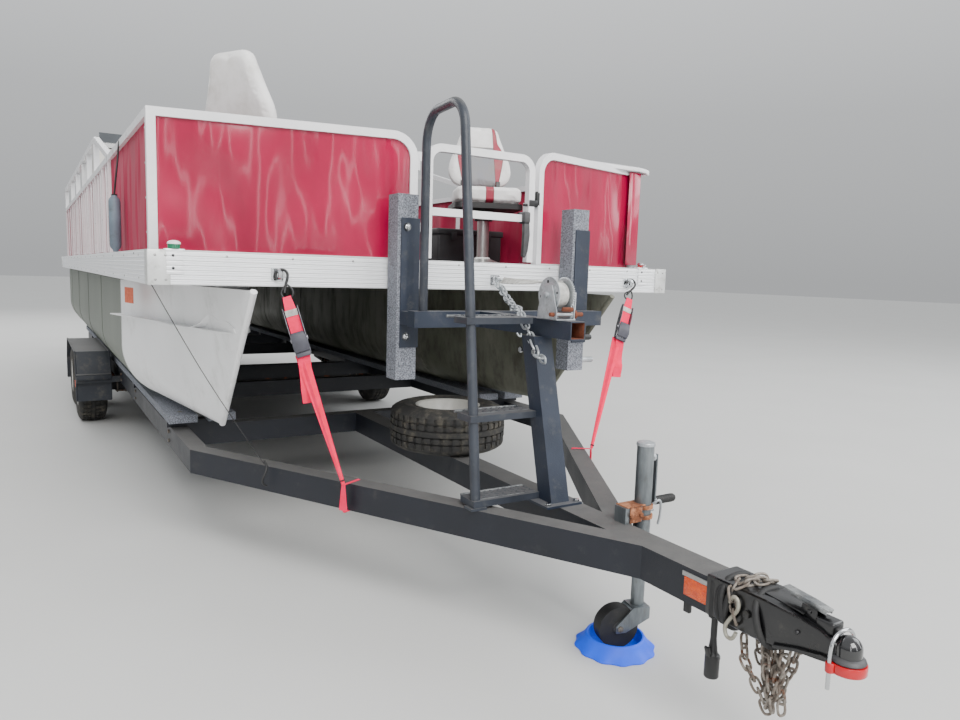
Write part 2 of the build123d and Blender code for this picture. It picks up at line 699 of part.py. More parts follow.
for name, *chair in CHAIRS:
    with BuildPart() as frame:
        with BuildSketch(chair_plane(chair, pan_bottom - SWIVEL_HEIGHT)):
            Circle(SWIVEL_RADIUS)
            Circle(SPIGOT_RADIUS + PIN_CLEARANCE, mode=Mode.SUBTRACT)
        extrude(amount=SWIVEL_HEIGHT)
        with BuildSketch(chair_plane(chair, pan_bottom)):
            with Locations((0, SEAT_SHIFT)):
                RectangleRounded(PAN_WIDTH, PAN_DEPTH, 40)
        extrude(amount=PAN_THICK)
        # Hinge straps behind the seat pad and forward over it
        for hand in (-1, 1):
            seat_back = SEAT_SHIFT + SEAT_DEPTH / 2
            with BuildSketch(chair_plane(chair, pan_bottom + PAN_THICK / 2)):
                with Locations((hand * STRAP_X, seat_back + STRAP_GAP + STRAP_THICK / 2)):
                    Rectangle(STRAP_WIDTH, STRAP_THICK)
            extrude(amount=SEAT_THICK + PAN_THICK / 2 + STRAP_GAP + STRAP_THICK)
            with BuildSketch(chair_plane(chair, pan_bottom + PAN_THICK / 2)):
                with Locations((hand * STRAP_X, seat_back - 15)):
                    Rectangle(STRAP_WIDTH, 50)
            extrude(amount=STRAP_THICK)
            with BuildSketch(chair_plane(chair, seat_top + STRAP_GAP)):
                with Locations((hand * STRAP_X, (FOLD_BACK + seat_back + STRAP_GAP + STRAP_THICK) / 2)):
                    Rectangle(STRAP_WIDTH, seat_back + STRAP_GAP + STRAP_THICK - FOLD_BACK)
            extrude(amount=STRAP_THICK)
            # Ears that carry the fold pin on either side of the back's tab
            for ear in (-1, 1):
                ear_x = hand * STRAP_X + ear * (TAB_WIDTH / 2 + 1)
                with BuildSketch(fold_plane(chair, ear_x)):
                    Circle(EAR_RADIUS)
                    with Locations((EAR_RADIUS / 2, -(FOLD_LIFT - STRAP_GAP) / 2)):
                        Rectangle(EAR_RADIUS, FOLD_LIFT - STRAP_GAP)
                    Circle(FOLD_PIN + PIN_CLEARANCE, mode=Mode.SUBTRACT)
                extrude(amount=ear * (STRAP_WIDTH - TAB_WIDTH - 2) / 2)
    keep(frame, f"{name}_frame")

    with BuildPart() as seat:
        with BuildSketch(chair_plane(chair, seat_bottom)):
            with Locations((0, SEAT_SHIFT)):
                RectangleRounded(SEAT_WIDTH, SEAT_DEPTH, 70)
        extrude(amount=SEAT_THICK)
        fillet(seat.faces().sort_by(Axis.Z)[-1].edges(), 25)
    keep(seat, f"{name}_seat")

    with BuildPart() as back:
        with BuildSketch(back_plane(chair)):
            with BuildLine():
                Polyline(
                    (-BACK_WIDTH / 2, BACK_GAP),
                    (-BACK_WIDTH / 2, BACK_GAP + BACK_HEIGHT * 0.35),
                    (-BACK_TOP_WIDTH / 2, BACK_GAP + BACK_HEIGHT),
                    (BACK_TOP_WIDTH / 2, BACK_GAP + BACK_HEIGHT),
                    (BACK_WIDTH / 2, BACK_GAP + BACK_HEIGHT * 0.35),
                    (BACK_WIDTH / 2, BACK_GAP),
                    close=True,
                )
            back_outline = make_face()
            fillet(back_outline.vertices().group_by(Axis.Y)[0], 30)
            fillet(back_outline.vertices().group_by(Axis.Y)[-1], 60)
        extrude(amount=-BACK_THICK)
        for hand in (-1, 1):
            with BuildSketch(back_plane(chair)):
                with Locations((hand * STRAP_X, (BACK_GAP + 2) / 2)):
                    Rectangle(TAB_WIDTH, BACK_GAP + 2)
            extrude(amount=-FOLD_PIN)
            with BuildSketch(fold_plane(chair, hand * STRAP_X)):
                Circle(FOLD_PIN)
            extrude(amount=STRAP_WIDTH / 2, both=True)
    keep(back, f"{name}_back")

# Helm console with its raked dash, and the steering wheel
console_rake = (sin(radians(STEERING_TILT)), -cos(radians(STEERING_TILT)))
dash_top = (CONSOLE_FRONT + 380, board_top + CONSOLE_HEIGHT - 40)
dash_bottom = (dash_top[0] + DASH_LENGTH * console_rake[0], dash_top[1] + DASH_LENGTH * console_rake[1])
dash_middle = ((dash_top[0] + dash_bottom[0]) / 2, (dash_top[1] + dash_bottom[1]) / 2)
steering_x = CONSOLE_X + CONSOLE_WIDTH / 2
steering_plane = Plane(
    origin=place(steering_x, dash_middle[0], dash_middle[1]),
    x_dir=(1, 0, 0),
    z_dir=(0, cos(radians(STEERING_TILT)), sin(radians(STEERING_TILT))),
)
with BuildPart() as console:
    with BuildSketch(side(CONSOLE_X)):
        with BuildLine():
            Polyline(
                (CONSOLE_FRONT, board_top),
                (CONSOLE_FRONT, board_top + CONSOLE_HEIGHT - 130),
                (CONSOLE_FRONT + 110, board_top + CONSOLE_HEIGHT),
                (CONSOLE_FRONT + 270, board_top + CONSOLE_HEIGHT),
                dash_top,
                dash_bottom,
                (CONSOLE_FRONT + 450, dash_bottom[1] - 50),
                (CONSOLE_FRONT + 450, board_top),
                close=True,
            )
        make_face()
    extrude(amount=CONSOLE_WIDTH)
    with BuildSketch(steering_plane):
        Circle(STEERING_SHAFT + PIN_CLEARANCE)
    extrude(amount=-STEERING_DEPTH, mode=Mode.SUBTRACT)
keep(console, "helm_console")

with BuildPart() as steering:
    with BuildSketch(steering_plane.offset(1 - STEERING_DEPTH)):
        Circle(STEERING_SHAFT)
    extrude(amount=STEERING_DEPTH + STEERING_REACH)
    with BuildSketch(steering_plane.offset(STEERING_REACH - 20)):
        Circle(STEERING_HUB)
        for spoke in range(3):
            with Locations(Rotation(0, 0, 90 + 120 * spoke) * Location((STEERING_RADIUS / 2, 0))):
                Rectangle(STEERING_RADIUS, 22)
    extrude(amount=STEERING_RIM)
    with BuildSketch(Plane(steering_plane.offset(STEERING_REACH - 20 + STEERING_RIM / 2).origin,
                           x_dir=(1, 0, 0), z_dir=steering_plane.y_dir)):
        with Locations((STEERING_RADIUS, 0)):
            Circle(STEERING_RIM)
    revolve(axis=Axis(steering_plane.origin, steering_plane.z_dir))
keep(steering, "steering_wheel")

# Stern bench: a base box, a seat cushion and a back cushion
bench_width = BENCH_PORT - BENCH_STARBOARD
bench_middle = (BENCH_STARBOARD + BENCH_PORT) / 2
bench_aft = STERN_FENCE - TUBE - BENCH_GAP
with BuildPart() as bench_base:
    with BuildSketch(plan(board_top)):
        with Locations((bench_middle, bench_aft - BENCH_DEPTH / 2)):
            Rectangle(bench_width, BENCH_DEPTH)
    extrude(amount=BENCH_BASE_HEIGHT)
keep(bench_base, "bench_base")

with BuildPart() as bench_cushions:
    with BuildSketch(plan(board_top + BENCH_BASE_HEIGHT)):
        with Locations((bench_middle, bench_aft - BENCH_BACK_THICK - (BENCH_DEPTH - BENCH_BACK_THICK) / 2)):
            RectangleRounded(bench_width, BENCH_DEPTH - BENCH_BACK_THICK - 4, 50)
    extrude(amount=BENCH_CUSHION)
    with BuildSketch(front(bench_aft)):
        with Locations((bench_middle, board_top + BENCH_BASE_HEIGHT + BENCH_BACK_HEIGHT / 2)):
            RectangleRounded(bench_width, BENCH_BACK_HEIGHT, 50)
    extrude(amount=BENCH_BACK_THICK)
keep(bench_cushions, "bench_cushions")

# Navigation lights on the deck's front edge, and the trailer's lamps
with BuildPart() as lights:
    for x in NAV_LIGHTS:
        with BuildSketch(plan(deck_top)):
            with Locations((x, 14)):
                Rectangle(70, 26)
        extrude(amount=5)
        with BuildSketch(plan(deck_top + 5)):
            with Locations((x, 14)):
                Circle(12)
        extrude(amount=22)
keep(lights, "nav_lights")

# Motor pod between the pontoons, with the clamp cheeks on its transom
tilt_y = TRANSOM + TILT_BACK
steer_y = TRANSOM + STEER_BACK
with BuildPart() as pod:
    with BuildSketch(side(-POD_HALF_WIDTH)):
        with BuildLine():
            Polyline(
                (POD_START, beam_bottom - 80),
                (POD_START, beam_bottom),
                (DECK_LENGTH - 60, beam_bottom),
                (DECK_LENGTH - 50, TRANSOM_TOP),
                (TRANSOM, TRANSOM_TOP),
                (TRANSOM, TRANSOM_TOP - POD_DEPTH),
                (TRANSOM - 150, TRANSOM_TOP - POD_DEPTH - 20),
                close=True,
            )
        make_face()
    extrude(amount=2 * POD_HALF_WIDTH)
    for x in (-CHEEK_X - CHEEK_THICK, CHEEK_X):
        with BuildSketch(side(x)):
            with BuildLine():
                Polyline(
                    (TRANSOM - 50, TRANSOM_TOP),
                    (TRANSOM - 50, TRANSOM_TOP + 20),
                    (tilt_y - TILT_BOSS, TRANSOM_TOP + 20),
                    (tilt_y - TILT_BOSS, TILT_HEIGHT),
                    (tilt_y + TILT_BOSS, TILT_HEIGHT),
                    (TRANSOM + 40, TRANSOM_TOP - 180),
                    (TRANSOM, TRANSOM_TOP - 180),
                    (TRANSOM, TRANSOM_TOP),
                    close=True,
                )
            make_face()
            with Locations((tilt_y, TILT_HEIGHT)):
                Circle(TILT_BOSS)
                Circle(TILT_RADIUS + PIN_CLEARANCE, mode=Mode.SUBTRACT)
        extrude(amount=CHEEK_THICK)
keep(pod, "motor_pod")

with BuildPart() as swivel:
    with BuildSketch(side(-CHEEK_X - CHEEK_THICK)):
        with Locations((tilt_y, TILT_HEIGHT)):
            Circle(TILT_RADIUS)
    extrude(amount=2 * (CHEEK_X + CHEEK_THICK))
    with BuildSketch(side(-CHEEK_X + 8)):
        with Locations((tilt_y, TILT_HEIGHT)):
            Circle(TILT_BOSS - 6)
        with Locations((tilt_y + 35, SWIVEL_TOP - 20)):
            Rectangle(70, 36)
    extrude(amount=2 * (CHEEK_X - 8))
    with BuildSketch(plan(SWIVEL_BOTTOM)):
        with Locations((0, steer_y)):
            Circle(KING_TUBE)
    extrude(amount=SWIVEL_TOP - SWIVEL_BOTTOM)
    with BuildSketch(side(-12)):
        with Locations((steer_y - 35, SWIVEL_TOP - 110)):
            Rectangle(60, 160)
    extrude(amount=24)
    with BuildSketch(plan(SWIVEL_BOTTOM)):
        with Locations((0, steer_y)):
            Circle(KING_PIN + PIN_CLEARANCE)
    extrude(amount=SWIVEL_TOP - SWIVEL_BOTTOM, mode=Mode.SUBTRACT)
keep(swivel, "outboard_swivel")


def teardrop(nose, half, tail, middle):
    """Closed plan outline: a nose arc on the origin, straight flanks and a rounded tail."""
    with BuildSketch(mode=Mode.PRIVATE) as outline:
        with BuildLine():
            ThreePointArc((-nose * 0.8, -nose * 0.6), (0, -nose), (nose * 0.8, -nose * 0.6))
            Spline((nose * 0.8, -nose * 0.6), (half, middle), (half * 0.8, tail * 0.9))
            ThreePointArc((half * 0.8, tail * 0.9), (0, tail), (-half * 0.8, tail * 0.9))
            Spline((-half * 0.8, tail * 0.9), (-half, middle), (-nose * 0.8, -nose * 0.6))
        make_face()
    return outline.sketch


with BuildPart() as leg:
    # Pan under the cowl, king pin and its lower yoke
    with BuildSketch(plan(PAN_UNDERSIDE)):
        with Locations((0, steer_y)):
            add(teardrop(COWL_FRONT, COWL_HALF, COWL_REAR, 120))
    extrude(amount=COWL_BOTTOM - PAN_UNDERSIDE)
    with BuildSketch(plan(SWIVEL_BOTTOM - 35)):
        with Locations((0, steer_y)):
            Circle(KING_PIN)
    extrude(amount=PAN_UNDERSIDE - SWIVEL_BOTTOM + 35)
    with BuildSketch(plan(SWIVEL_BOTTOM - 35)):
        with Locations((0, steer_y)):
            Circle(KING_TUBE)
        with Locations((0, steer_y + 50)):
            Rectangle(2 * KING_TUBE, 100)
    extrude(amount=30)
    # Midsection, splash plate, gearcase and skeg
    with BuildSketch(plan(PROP_HEIGHT)):
        with Locations((0, steer_y + (LEG_FRONT + LEG_REAR) / 2)):
            Ellipse(LEG_HALF, (LEG_REAR - LEG_FRONT) / 2)
    extrude(amount=PAN_UNDERSIDE - PROP_HEIGHT)
    with BuildSketch(plan(PLATE_HEIGHT)):
        with Locations((0, steer_y + 200)):
            Ellipse(95, 190)
    extrude(amount=8)
    gearcase_front = steer_y + 10
    with BuildSketch(side(0)):
        with BuildLine():
            Polyline(
                (gearcase_front, PROP_HEIGHT),
                (GEARCASE_END, PROP_HEIGHT),
                (GEARCASE_END, PROP_HEIGHT + GEARCASE_RADIUS - 8),
                (GEARCASE_END - 40, PROP_HEIGHT + GEARCASE_RADIUS),
                (gearcase_front + 110, PROP_HEIGHT + GEARCASE_RADIUS),
            )
            Spline(
                (gearcase_front + 110, PROP_HEIGHT + GEARCASE_RADIUS),
                (gearcase_front + 35, PROP_HEIGHT + GEARCASE_RADIUS * 0.7),
                (gearcase_front, PROP_HEIGHT),
                tangents=((-1, 0), (0, -1)),
            )
        make_face()
    revolve(axis=Axis(place(0, 0, PROP_HEIGHT), (0, 1, 0)))
    with BuildSketch(side(-6)):
        with BuildLine():
            Polyline(
                (steer_y + 80, PROP_HEIGHT),
                (steer_y + 140, SKEG_BOTTOM),
                (steer_y + 215, SKEG_BOTTOM),
                (steer_y + 245, PROP_HEIGHT),
                close=True,
            )
        make_face()
    extrude(amount=12)
    with BuildSketch(front(GEARCASE_END + PROP_LENGTH)):
        with Locations((0, PROP_HEIGHT)):
            Circle(PROP_SHAFT)
    extrude(amount=PROP_LENGTH + 10)
keep(leg, "outboard_leg")

with BuildPart() as cowl:
    with BuildSketch(plan(COWL_BOTTOM)):
        with Locations((0, steer_y)):
            add(teardrop(COWL_FRONT, COWL_HALF, COWL_REAR, 120))
    with BuildSketch(plan(COWL_BOTTOM + 260)):
        with Locations((0, steer_y)):
            add(teardrop(COWL_FRONT - 6, COWL_HALF - 6, COWL_REAR - 20, 120))
    with BuildSketch(plan(COWL_TOP)):
        with Locations((0, steer_y + 10)):
            add(teardrop(COWL_FRONT - 45, COWL_HALF - 45, COWL_REAR - 110, 110))
    loft(ruled=True)
keep(cowl, "outboard_cowl")

with BuildPart() as propeller:
    with BuildSketch(front(GEARCASE_END + 4 + PROP_LENGTH)):
        with Locations((0, PROP_HEIGHT)):
            Circle(PROP_HUB)
    extrude(amount=PROP_LENGTH)
    for blade in range(BLADE_COUNT):
        turn = radians(90 + 360 / BLADE_COUNT * blade)
        outward = Vector(cos(turn), 0, sin(turn))
        across = Vector(-sin(turn), 0, cos(turn))
        pitch = radians(BLADE_PITCH)
        chord = across * cos(pitch) + Vector(0, 1, 0) * sin(pitch)
        blade_plane = Plane(
            origin=place(0, GEARCASE_END + 4 + PROP_LENGTH / 2, PROP_HEIGHT),
            x_dir=chord,
            z_dir=chord.cross(outward),
        )
        with BuildSketch(blade_plane):
            with Locations((0, PROP_RADIUS * 0.55)):
                Ellipse(PROP_RADIUS * 0.36, PROP_RADIUS * 0.45)
        extrude(amount=3, both=True)
    with BuildSketch(front(GEARCASE_END + 4 + PROP_LENGTH)):
        with Locations((0, PROP_HEIGHT)):
            Circle(PROP_SHAFT + PIN_CLEARANCE)
    extrude(amount=PROP_LENGTH, mode=Mode.SUBTRACT)
keep(propeller, "outboard_propeller")

# Trailer frame: side rails that close to the tongue, crossmembers and bunk brackets
frame_bottom = FRAME_TOP - FRAME_TUBE
inner_half = FRAME_HALF - RAIL_WIDTH


def rail_inner(hand, x):
    """Distance aft of a closing rail's inner face at this half-width."""
    run, rise = FRAME_HALF - TONGUE_HALF, FRAME_CORNER - RAIL_MEETS_TONGUE[hand]
    across = RAIL_WIDTH * hypot(run, rise) / run
    return FRAME_CORNER + across + (x - FRAME_HALF) * rise / run


bunk_bottom = BUNK_TOP - BUNK_THICK
with BuildPart() as trailer_frame:
    with BuildSketch(plan(frame_bottom)):
        with BuildLine():
            Polyline(
                (-TONGUE_HALF, RAIL_MEETS_TONGUE[-1]),
                (-FRAME_HALF, FRAME_CORNER),
                (-FRAME_HALF, FRAME_END),
                (FRAME_HALF, FRAME_END),
                (FRAME_HALF, FRAME_CORNER),
                (TONGUE_HALF, RAIL_MEETS_TONGUE[1]),
                close=True,
            )
        make_face()
        for hand in (-1, 1):
            with BuildLine():
                Polyline(
                    (hand * TONGUE_HALF, rail_inner(hand, TONGUE_HALF)),
                    (hand * inner_half, rail_inner(hand, inner_half)),
                    (hand * inner_half, FRAME_END - RAIL_WIDTH),
                    (hand * TONGUE_HALF, FRAME_END - RAIL_WIDTH),
                    close=True,
                )
            make_face(mode=Mode.SUBTRACT)
        with Locations((0, (TONGUE_END + FRAME_END - RAIL_WIDTH) / 2)):
            Rectangle(2 * TONGUE_HALF, FRAME_END - RAIL_WIDTH - TONGUE_END, mode=Mode.SUBTRACT)
        with Locations((0, (TONGUE_FRONT + TONGUE_END) / 2)):
            Rectangle(2 * TONGUE_HALF, TONGUE_END - TONGUE_FRONT)
        for y in CROSSMEMBERS:
            with Locations((0, y)):
                Rectangle(2 * inner_half + 4, RAIL_WIDTH)
    extrude(amount=FRAME_TUBE)
    with BuildSketch(plan(FRAME_TOP)):
        for x in (-PONTOON_OFFSET, PONTOON_OFFSET):
            for y in CROSSMEMBERS:
                with Locations((x, y)):
                    Rectangle(2 * BUNK_SPREAD + BUNK_WIDTH, RAIL_WIDTH)
    extrude(amount=bunk_bottom - FRAME_TOP)
    with BuildSketch(plan(FRAME_TOP)):
        with Locations((SPARE_X, SPARE_Y)):
            Circle(SPARE_STUD)
    extrude(amount=TYRE_WIDTH * 0.6)
keep(trailer_frame, "trailer_frame")

with BuildPart() as bunks:
    with BuildSketch(plan(bunk_bottom)):
        for x in (-PONTOON_OFFSET, PONTOON_OFFSET):
            for hand in (-1, 1):
                with Locations((x + hand * BUNK_SPREAD, (BUNK_START + BUNK_END) / 2)):
                    Rectangle(BUNK_WIDTH, BUNK_END - BUNK_START)
    extrude(amount=BUNK_THICK)
    with BuildSketch(plan(STOP_BOTTOM)):
        for x in STOPS:
            with Locations((x, STOP_Y)):
                Rectangle(STOP_SIZE, STOP_SIZE)
    extrude(amount=STOP_TOP - STOP_BOTTOM)
keep(bunks, "bunks")

# Axles with their springs and hangers under the side rails
axle_bottom = TYRE_RADIUS - AXLE_TUBE / 2
axle_top = axle_bottom + AXLE_TUBE
with BuildPart() as axles:
    for y in AXLES:
        with BuildSketch(side(-AXLE_HALF)):
            with Locations((y, TYRE_RADIUS)):
                Rectangle(AXLE_TUBE, AXLE_TUBE)
        extrude(amount=2 * AXLE_HALF)
        with BuildSketch(side(-SPINDLE_END)):
            with Locations((y, TYRE_RADIUS)):
                Circle(SPINDLE_RADIUS)
        extrude(amount=2 * SPINDLE_END)
        for hand in (-1, 1):
            with BuildSketch(side(hand * SPRING_X - SPRING_WIDTH / 2)):
                with BuildLine():
                    Polyline(
                        (y - SPRING_HALF, frame_bottom),
                        (y - SPRING_HALF, frame_bottom - SPRING_THICK),
                        (y - 60, axle_top),
                        (y + 60, axle_top),
                        (y + SPRING_HALF, frame_bottom - SPRING_THICK),
                        (y + SPRING_HALF, frame_bottom),
                        (y + SPRING_HALF - 40, frame_bottom),
                        (y + 60, axle_top + SPRING_THICK),
                        (y - 60, axle_top + SPRING_THICK),
                        (y - SPRING_HALF + 40, frame_bottom),
                        close=True,
                    )
                make_face()
            extrude(amount=SPRING_WIDTH)
keep(axles, "axles")


def tyre_section():
    """Half section of a tyre: sketch x along the axle, y outward."""
    with BuildSketch(mode=Mode.PRIVATE) as section:
        with Locations((0, (RIM_RADIUS + TYRE_RADIUS) / 2)):
            Rectangle(TYRE_WIDTH, TYRE_RADIUS - RIM_RADIUS)
        fillet(section.vertices().group_by(Axis.Y)[-1], TYRE_SHOULDER)
        chamfer(section.vertices().group_by(Axis.Y)[0], 14)
    return section.sketch


def rim_section():
    """Half section of a wheel: sketch x outboard along the axle, y outward."""
    bore = SPINDLE_RADIUS + SPINDLE_CLEARANCE
    with BuildSketch(mode=Mode.PRIVATE) as section:
        with Locations((0, RIM_RADIUS - RIM_WALL / 2)):
            Rectangle(RIM_WIDTH, RIM_WALL)
        with Locations((WHEEL_DISC - RIM_WALL / 2, (HUB_RADIUS + RIM_RADIUS) / 2 - RIM_WALL / 2)):
            Rectangle(RIM_WALL, RIM_RADIUS - HUB_RADIUS)
        with Locations(((HUB_INNER + HUB_OUTER) / 2, (bore + HUB_RADIUS) / 2)):
            Rectangle(HUB_OUTER - HUB_INNER, HUB_RADIUS - bore)
        with Locations(((HUB_OUTER + CAP_OUTER) / 2, HUB_RADIUS * 0.35)):
            Rectangle(CAP_OUTER - HUB_OUTER, HUB_RADIUS * 0.7)
    return section.sketch


# Wheels
wheels = [
    (f"{place_name}_{side_name}", hand, y)
    for place_name, y in zip(("front", "rear"), AXLES)
    for side_name, hand in (("starboard", -1), ("port", 1))
]
for name, hand, y in wheels:
    middle = hand * TYRE_CENTRE
    wheel_axis = Axis(place(middle, y, TYRE_RADIUS), (1, 0, 0))
    with BuildPart() as tyre:
        with BuildSketch(Plane(origin=place(middle, y, TYRE_RADIUS), x_dir=(1, 0, 0), z_dir=(0, -1, 0))):
            add(tyre_section())
        revolve(axis=wheel_axis)
    keep(tyre, f"tyre_{name}")
    with BuildPart() as rim:
        with BuildSketch(Plane(origin=place(middle, y, TYRE_RADIUS), x_dir=(hand, 0, 0), z_dir=(0, -hand, 0))):
            add(rim_section())
        revolve(axis=wheel_axis)
    keep(rim, f"rim_{name}")

# Spare wheel lying on the tongue
spare_axis = Axis(place(SPARE_X, SPARE_Y, FRAME_TOP), (0, 0, 1))
spare_plane = Plane(
    origin=place(SPARE_X, SPARE_Y, FRAME_TOP + TYRE_WIDTH / 2), x_dir=(0, 0, 1), z_dir=(0, 1, 0)
)
with BuildPart() as spare_tyre:
    with BuildSketch(spare_plane):
        add(tyre_section())
    revolve(axis=spare_axis)
keep(spare_tyre, "spare_tyre")
with BuildPart() as spare_rim:
    with BuildSketch(spare_plane):
        with Locations((0, RIM_RADIUS - RIM_WALL / 2)):
            Rectangle(RIM_WIDTH, RIM_WALL)
        with Locations((WHEEL_DISC - RIM_WALL / 2, (SPARE_STUD + 1 + RIM_RADIUS) / 2)):
            Rectangle(RIM_WALL, RIM_RADIUS - SPARE_STUD - 1)
    revolve(axis=spare_axis)
keep(spare_rim, "spare_rim")

# Fenders over both wheels of a side, each on two arms from the side rail
fender_front = AXLES[0] - FENDER_REACH
fender_rear = AXLES[1] + FENDER_REACH
with BuildPart() as fenders:
    for hand in (-1, 1):
        with BuildSketch(side(min(hand * FENDER_INNER, hand * (FENDER_INNER + FENDER_WIDTH)))):
            for wall, mode in ((0, Mode.ADD), (FENDER_THICK, Mode.SUBTRACT)):
                with BuildLine():
                    Polyline(
                        (fender_front + wall, FENDER_BOTTOM),
                        (fender_front + wall, FENDER_KNEE),
                        (fender_front + FENDER_SLOPE + wall * 0.6, FENDER_TOP - wall),
                        (fender_rear - FENDER_SLOPE - wall * 0.6, FENDER_TOP - wall),
                        (fender_rear - wall, FENDER_KNEE),
                        (fender_rear - wall, FENDER_BOTTOM),
                        close=True,
                    )
                make_face(mode=mode)
        extrude(amount=FENDER_WIDTH)
        with BuildSketch(side(min(hand * FRAME_HALF, hand * (FENDER_INNER + FENDER_WIDTH)))):
            for y in (fender_front - FENDER_ARM / 2, fender_rear + FENDER_ARM / 2):
                with Locations((y, frame_bottom + FENDER_ARM / 2 + 5)):
                    Rectangle(FENDER_ARM, FENDER_ARM)
        extrude(amount=FENDER_INNER + FENDER_WIDTH - FRAME_HALF)
keep(fenders, "trailer_fenders")

# Tongue jack with its clamp and crank, fork, caster wheel and the dock under it
with BuildPart() as jack:
    with BuildSketch(plan(JACK_BOTTOM)):
        with Locations((JACK_X, JACK_Y)):
            Circle(JACK_RADIUS)
            Circle(JACK_INNER_RADIUS, mode=Mode.SUBTRACT)
    extrude(amount=JACK_TOP - 8 - JACK_BOTTOM)
    with BuildSketch(plan(JACK_TOP - 8)):
        with Locations((JACK_X, JACK_Y)):
            Circle(JACK_RADIUS + 2)
    extrude(amount=8)
    with BuildSketch(plan(FRAME_TOP)):
        with Locations((JACK_X - JACK_RADIUS - 34, JACK_Y)):
            Rectangle(72, 52)
    extrude(amount=CLAMP_HEIGHT)
    # Crank: a shaft near the tube's top, an arm down its port side and a grip
    crank_x = JACK_X + JACK_RADIUS + CRANK_REACH - 8
    with BuildSketch(side(JACK_X + JACK_RADIUS - 2)):
        with Locations((JACK_Y, CRANK_TOP)):
            Circle(8)
    extrude(amount=CRANK_REACH)
    with BuildSketch(side(crank_x)):
        with Locations((JACK_Y, (CRANK_TOP + CRANK_GRIP) / 2)):
            Rectangle(18, CRANK_TOP - CRANK_GRIP + 18)
    extrude(amount=6)
    with BuildSketch(side(crank_x)):
        with Locations((JACK_Y, CRANK_GRIP)):
            Circle(12)
    extrude(amount=92)
keep(jack, "jack_tube")

turn = radians(CASTER_TURN)
caster_x = JACK_X + CASTER_BACK * cos(turn)
caster_y = JACK_Y + CASTER_BACK * sin(turn)
caster_z = DOCK_FLOOR + CASTER_RADIUS
axle_dir = (-sin(turn), cos(turn), 0)
back_dir = (cos(turn), sin(turn), 0)


def caster_plane(offset):
    """Upright plane along the caster's trail, this far along its axle from the middle."""
    origin = place(caster_x + axle_dir[0] * offset, caster_y + axle_dir[1] * offset, caster_z)
    return Plane(origin=origin, x_dir=back_dir, z_dir=(-axle_dir[0], -axle_dir[1], 0))


fork_half = CASTER_WIDTH / 2 + 6
with BuildPart() as fork:
    fork_top = caster_z + FORK_RISE
    with BuildSketch(plan(fork_top)):
        with Locations((JACK_X, JACK_Y)):
            Circle(JACK_INNER_RADIUS)
    extrude(amount=JACK_TOP - 60 - fork_top)
    for hand in (-1, 1):
        with BuildSketch(caster_plane(hand * fork_half)):
            with BuildLine():
                Polyline(
                    (-CASTER_BACK - 30, FORK_RISE),
                    (-CASTER_BACK + 30, FORK_RISE),
                    (14, 10),
                    (14, -14),
                    (-20, -14),
                    (-CASTER_BACK - 30, FORK_RISE - 40),
                    close=True,
                )
            make_face()
        extrude(amount=-hand * FORK_THICK)
    with BuildSketch(caster_plane(0)):
        with Locations((-CASTER_BACK, FORK_RISE - FORK_THICK / 2)):
            Rectangle(60, FORK_THICK)
    extrude(amount=fork_half + 1, both=True)
    with BuildSketch(caster_plane(0)):
        Circle(CASTER_AXLE)
    extrude(amount=fork_half + 1, both=True)
keep(fork, "jack_fork")

with BuildPart() as caster:
    with BuildSketch(caster_plane(0)):
        Circle(CASTER_RADIUS)
        Circle(CASTER_AXLE + PIN_CLEARANCE, mode=Mode.SUBTRACT)
    extrude(amount=CASTER_WIDTH / 2, both=True)
    with BuildSketch(caster_plane(0)):
        Circle(CASTER_RADIUS - 14)
        Circle(CASTER_RADIUS - 50, mode=Mode.SUBTRACT)
    extrude(amount=CASTER_WIDTH / 2 - 8, both=True, mode=Mode.ADD)
keep(caster, "jack_wheel")

with BuildPart() as dock:
    with BuildSketch(plan(0)):
        with Locations((caster_x, caster_y)):
            Circle(DOCK_RADIUS)
    extrude(amount=DOCK_HEIGHT, taper=DOCK_TAPER)
    with BuildSketch(plan(DOCK_FLOOR)):
        with Locations((caster_x, caster_y)):
            Circle(DOCK_WELL)
    extrude(amount=DOCK_HEIGHT, mode=Mode.SUBTRACT)
keep(dock, "wheel_dock")

# Coupler: a sleeve over the tongue's end, a nose and a ball socket
def nose_section(y, half, top):
    """Upright section of the coupler's nose."""
    with BuildSketch(front(y), mode=Mode.PRIVATE) as section:
        with Locations((0, (DOME_BOTTOM + 12 + top) / 2)):
            Rectangle(2 * half, top - DOME_BOTTOM - 12)
    return section.sketch


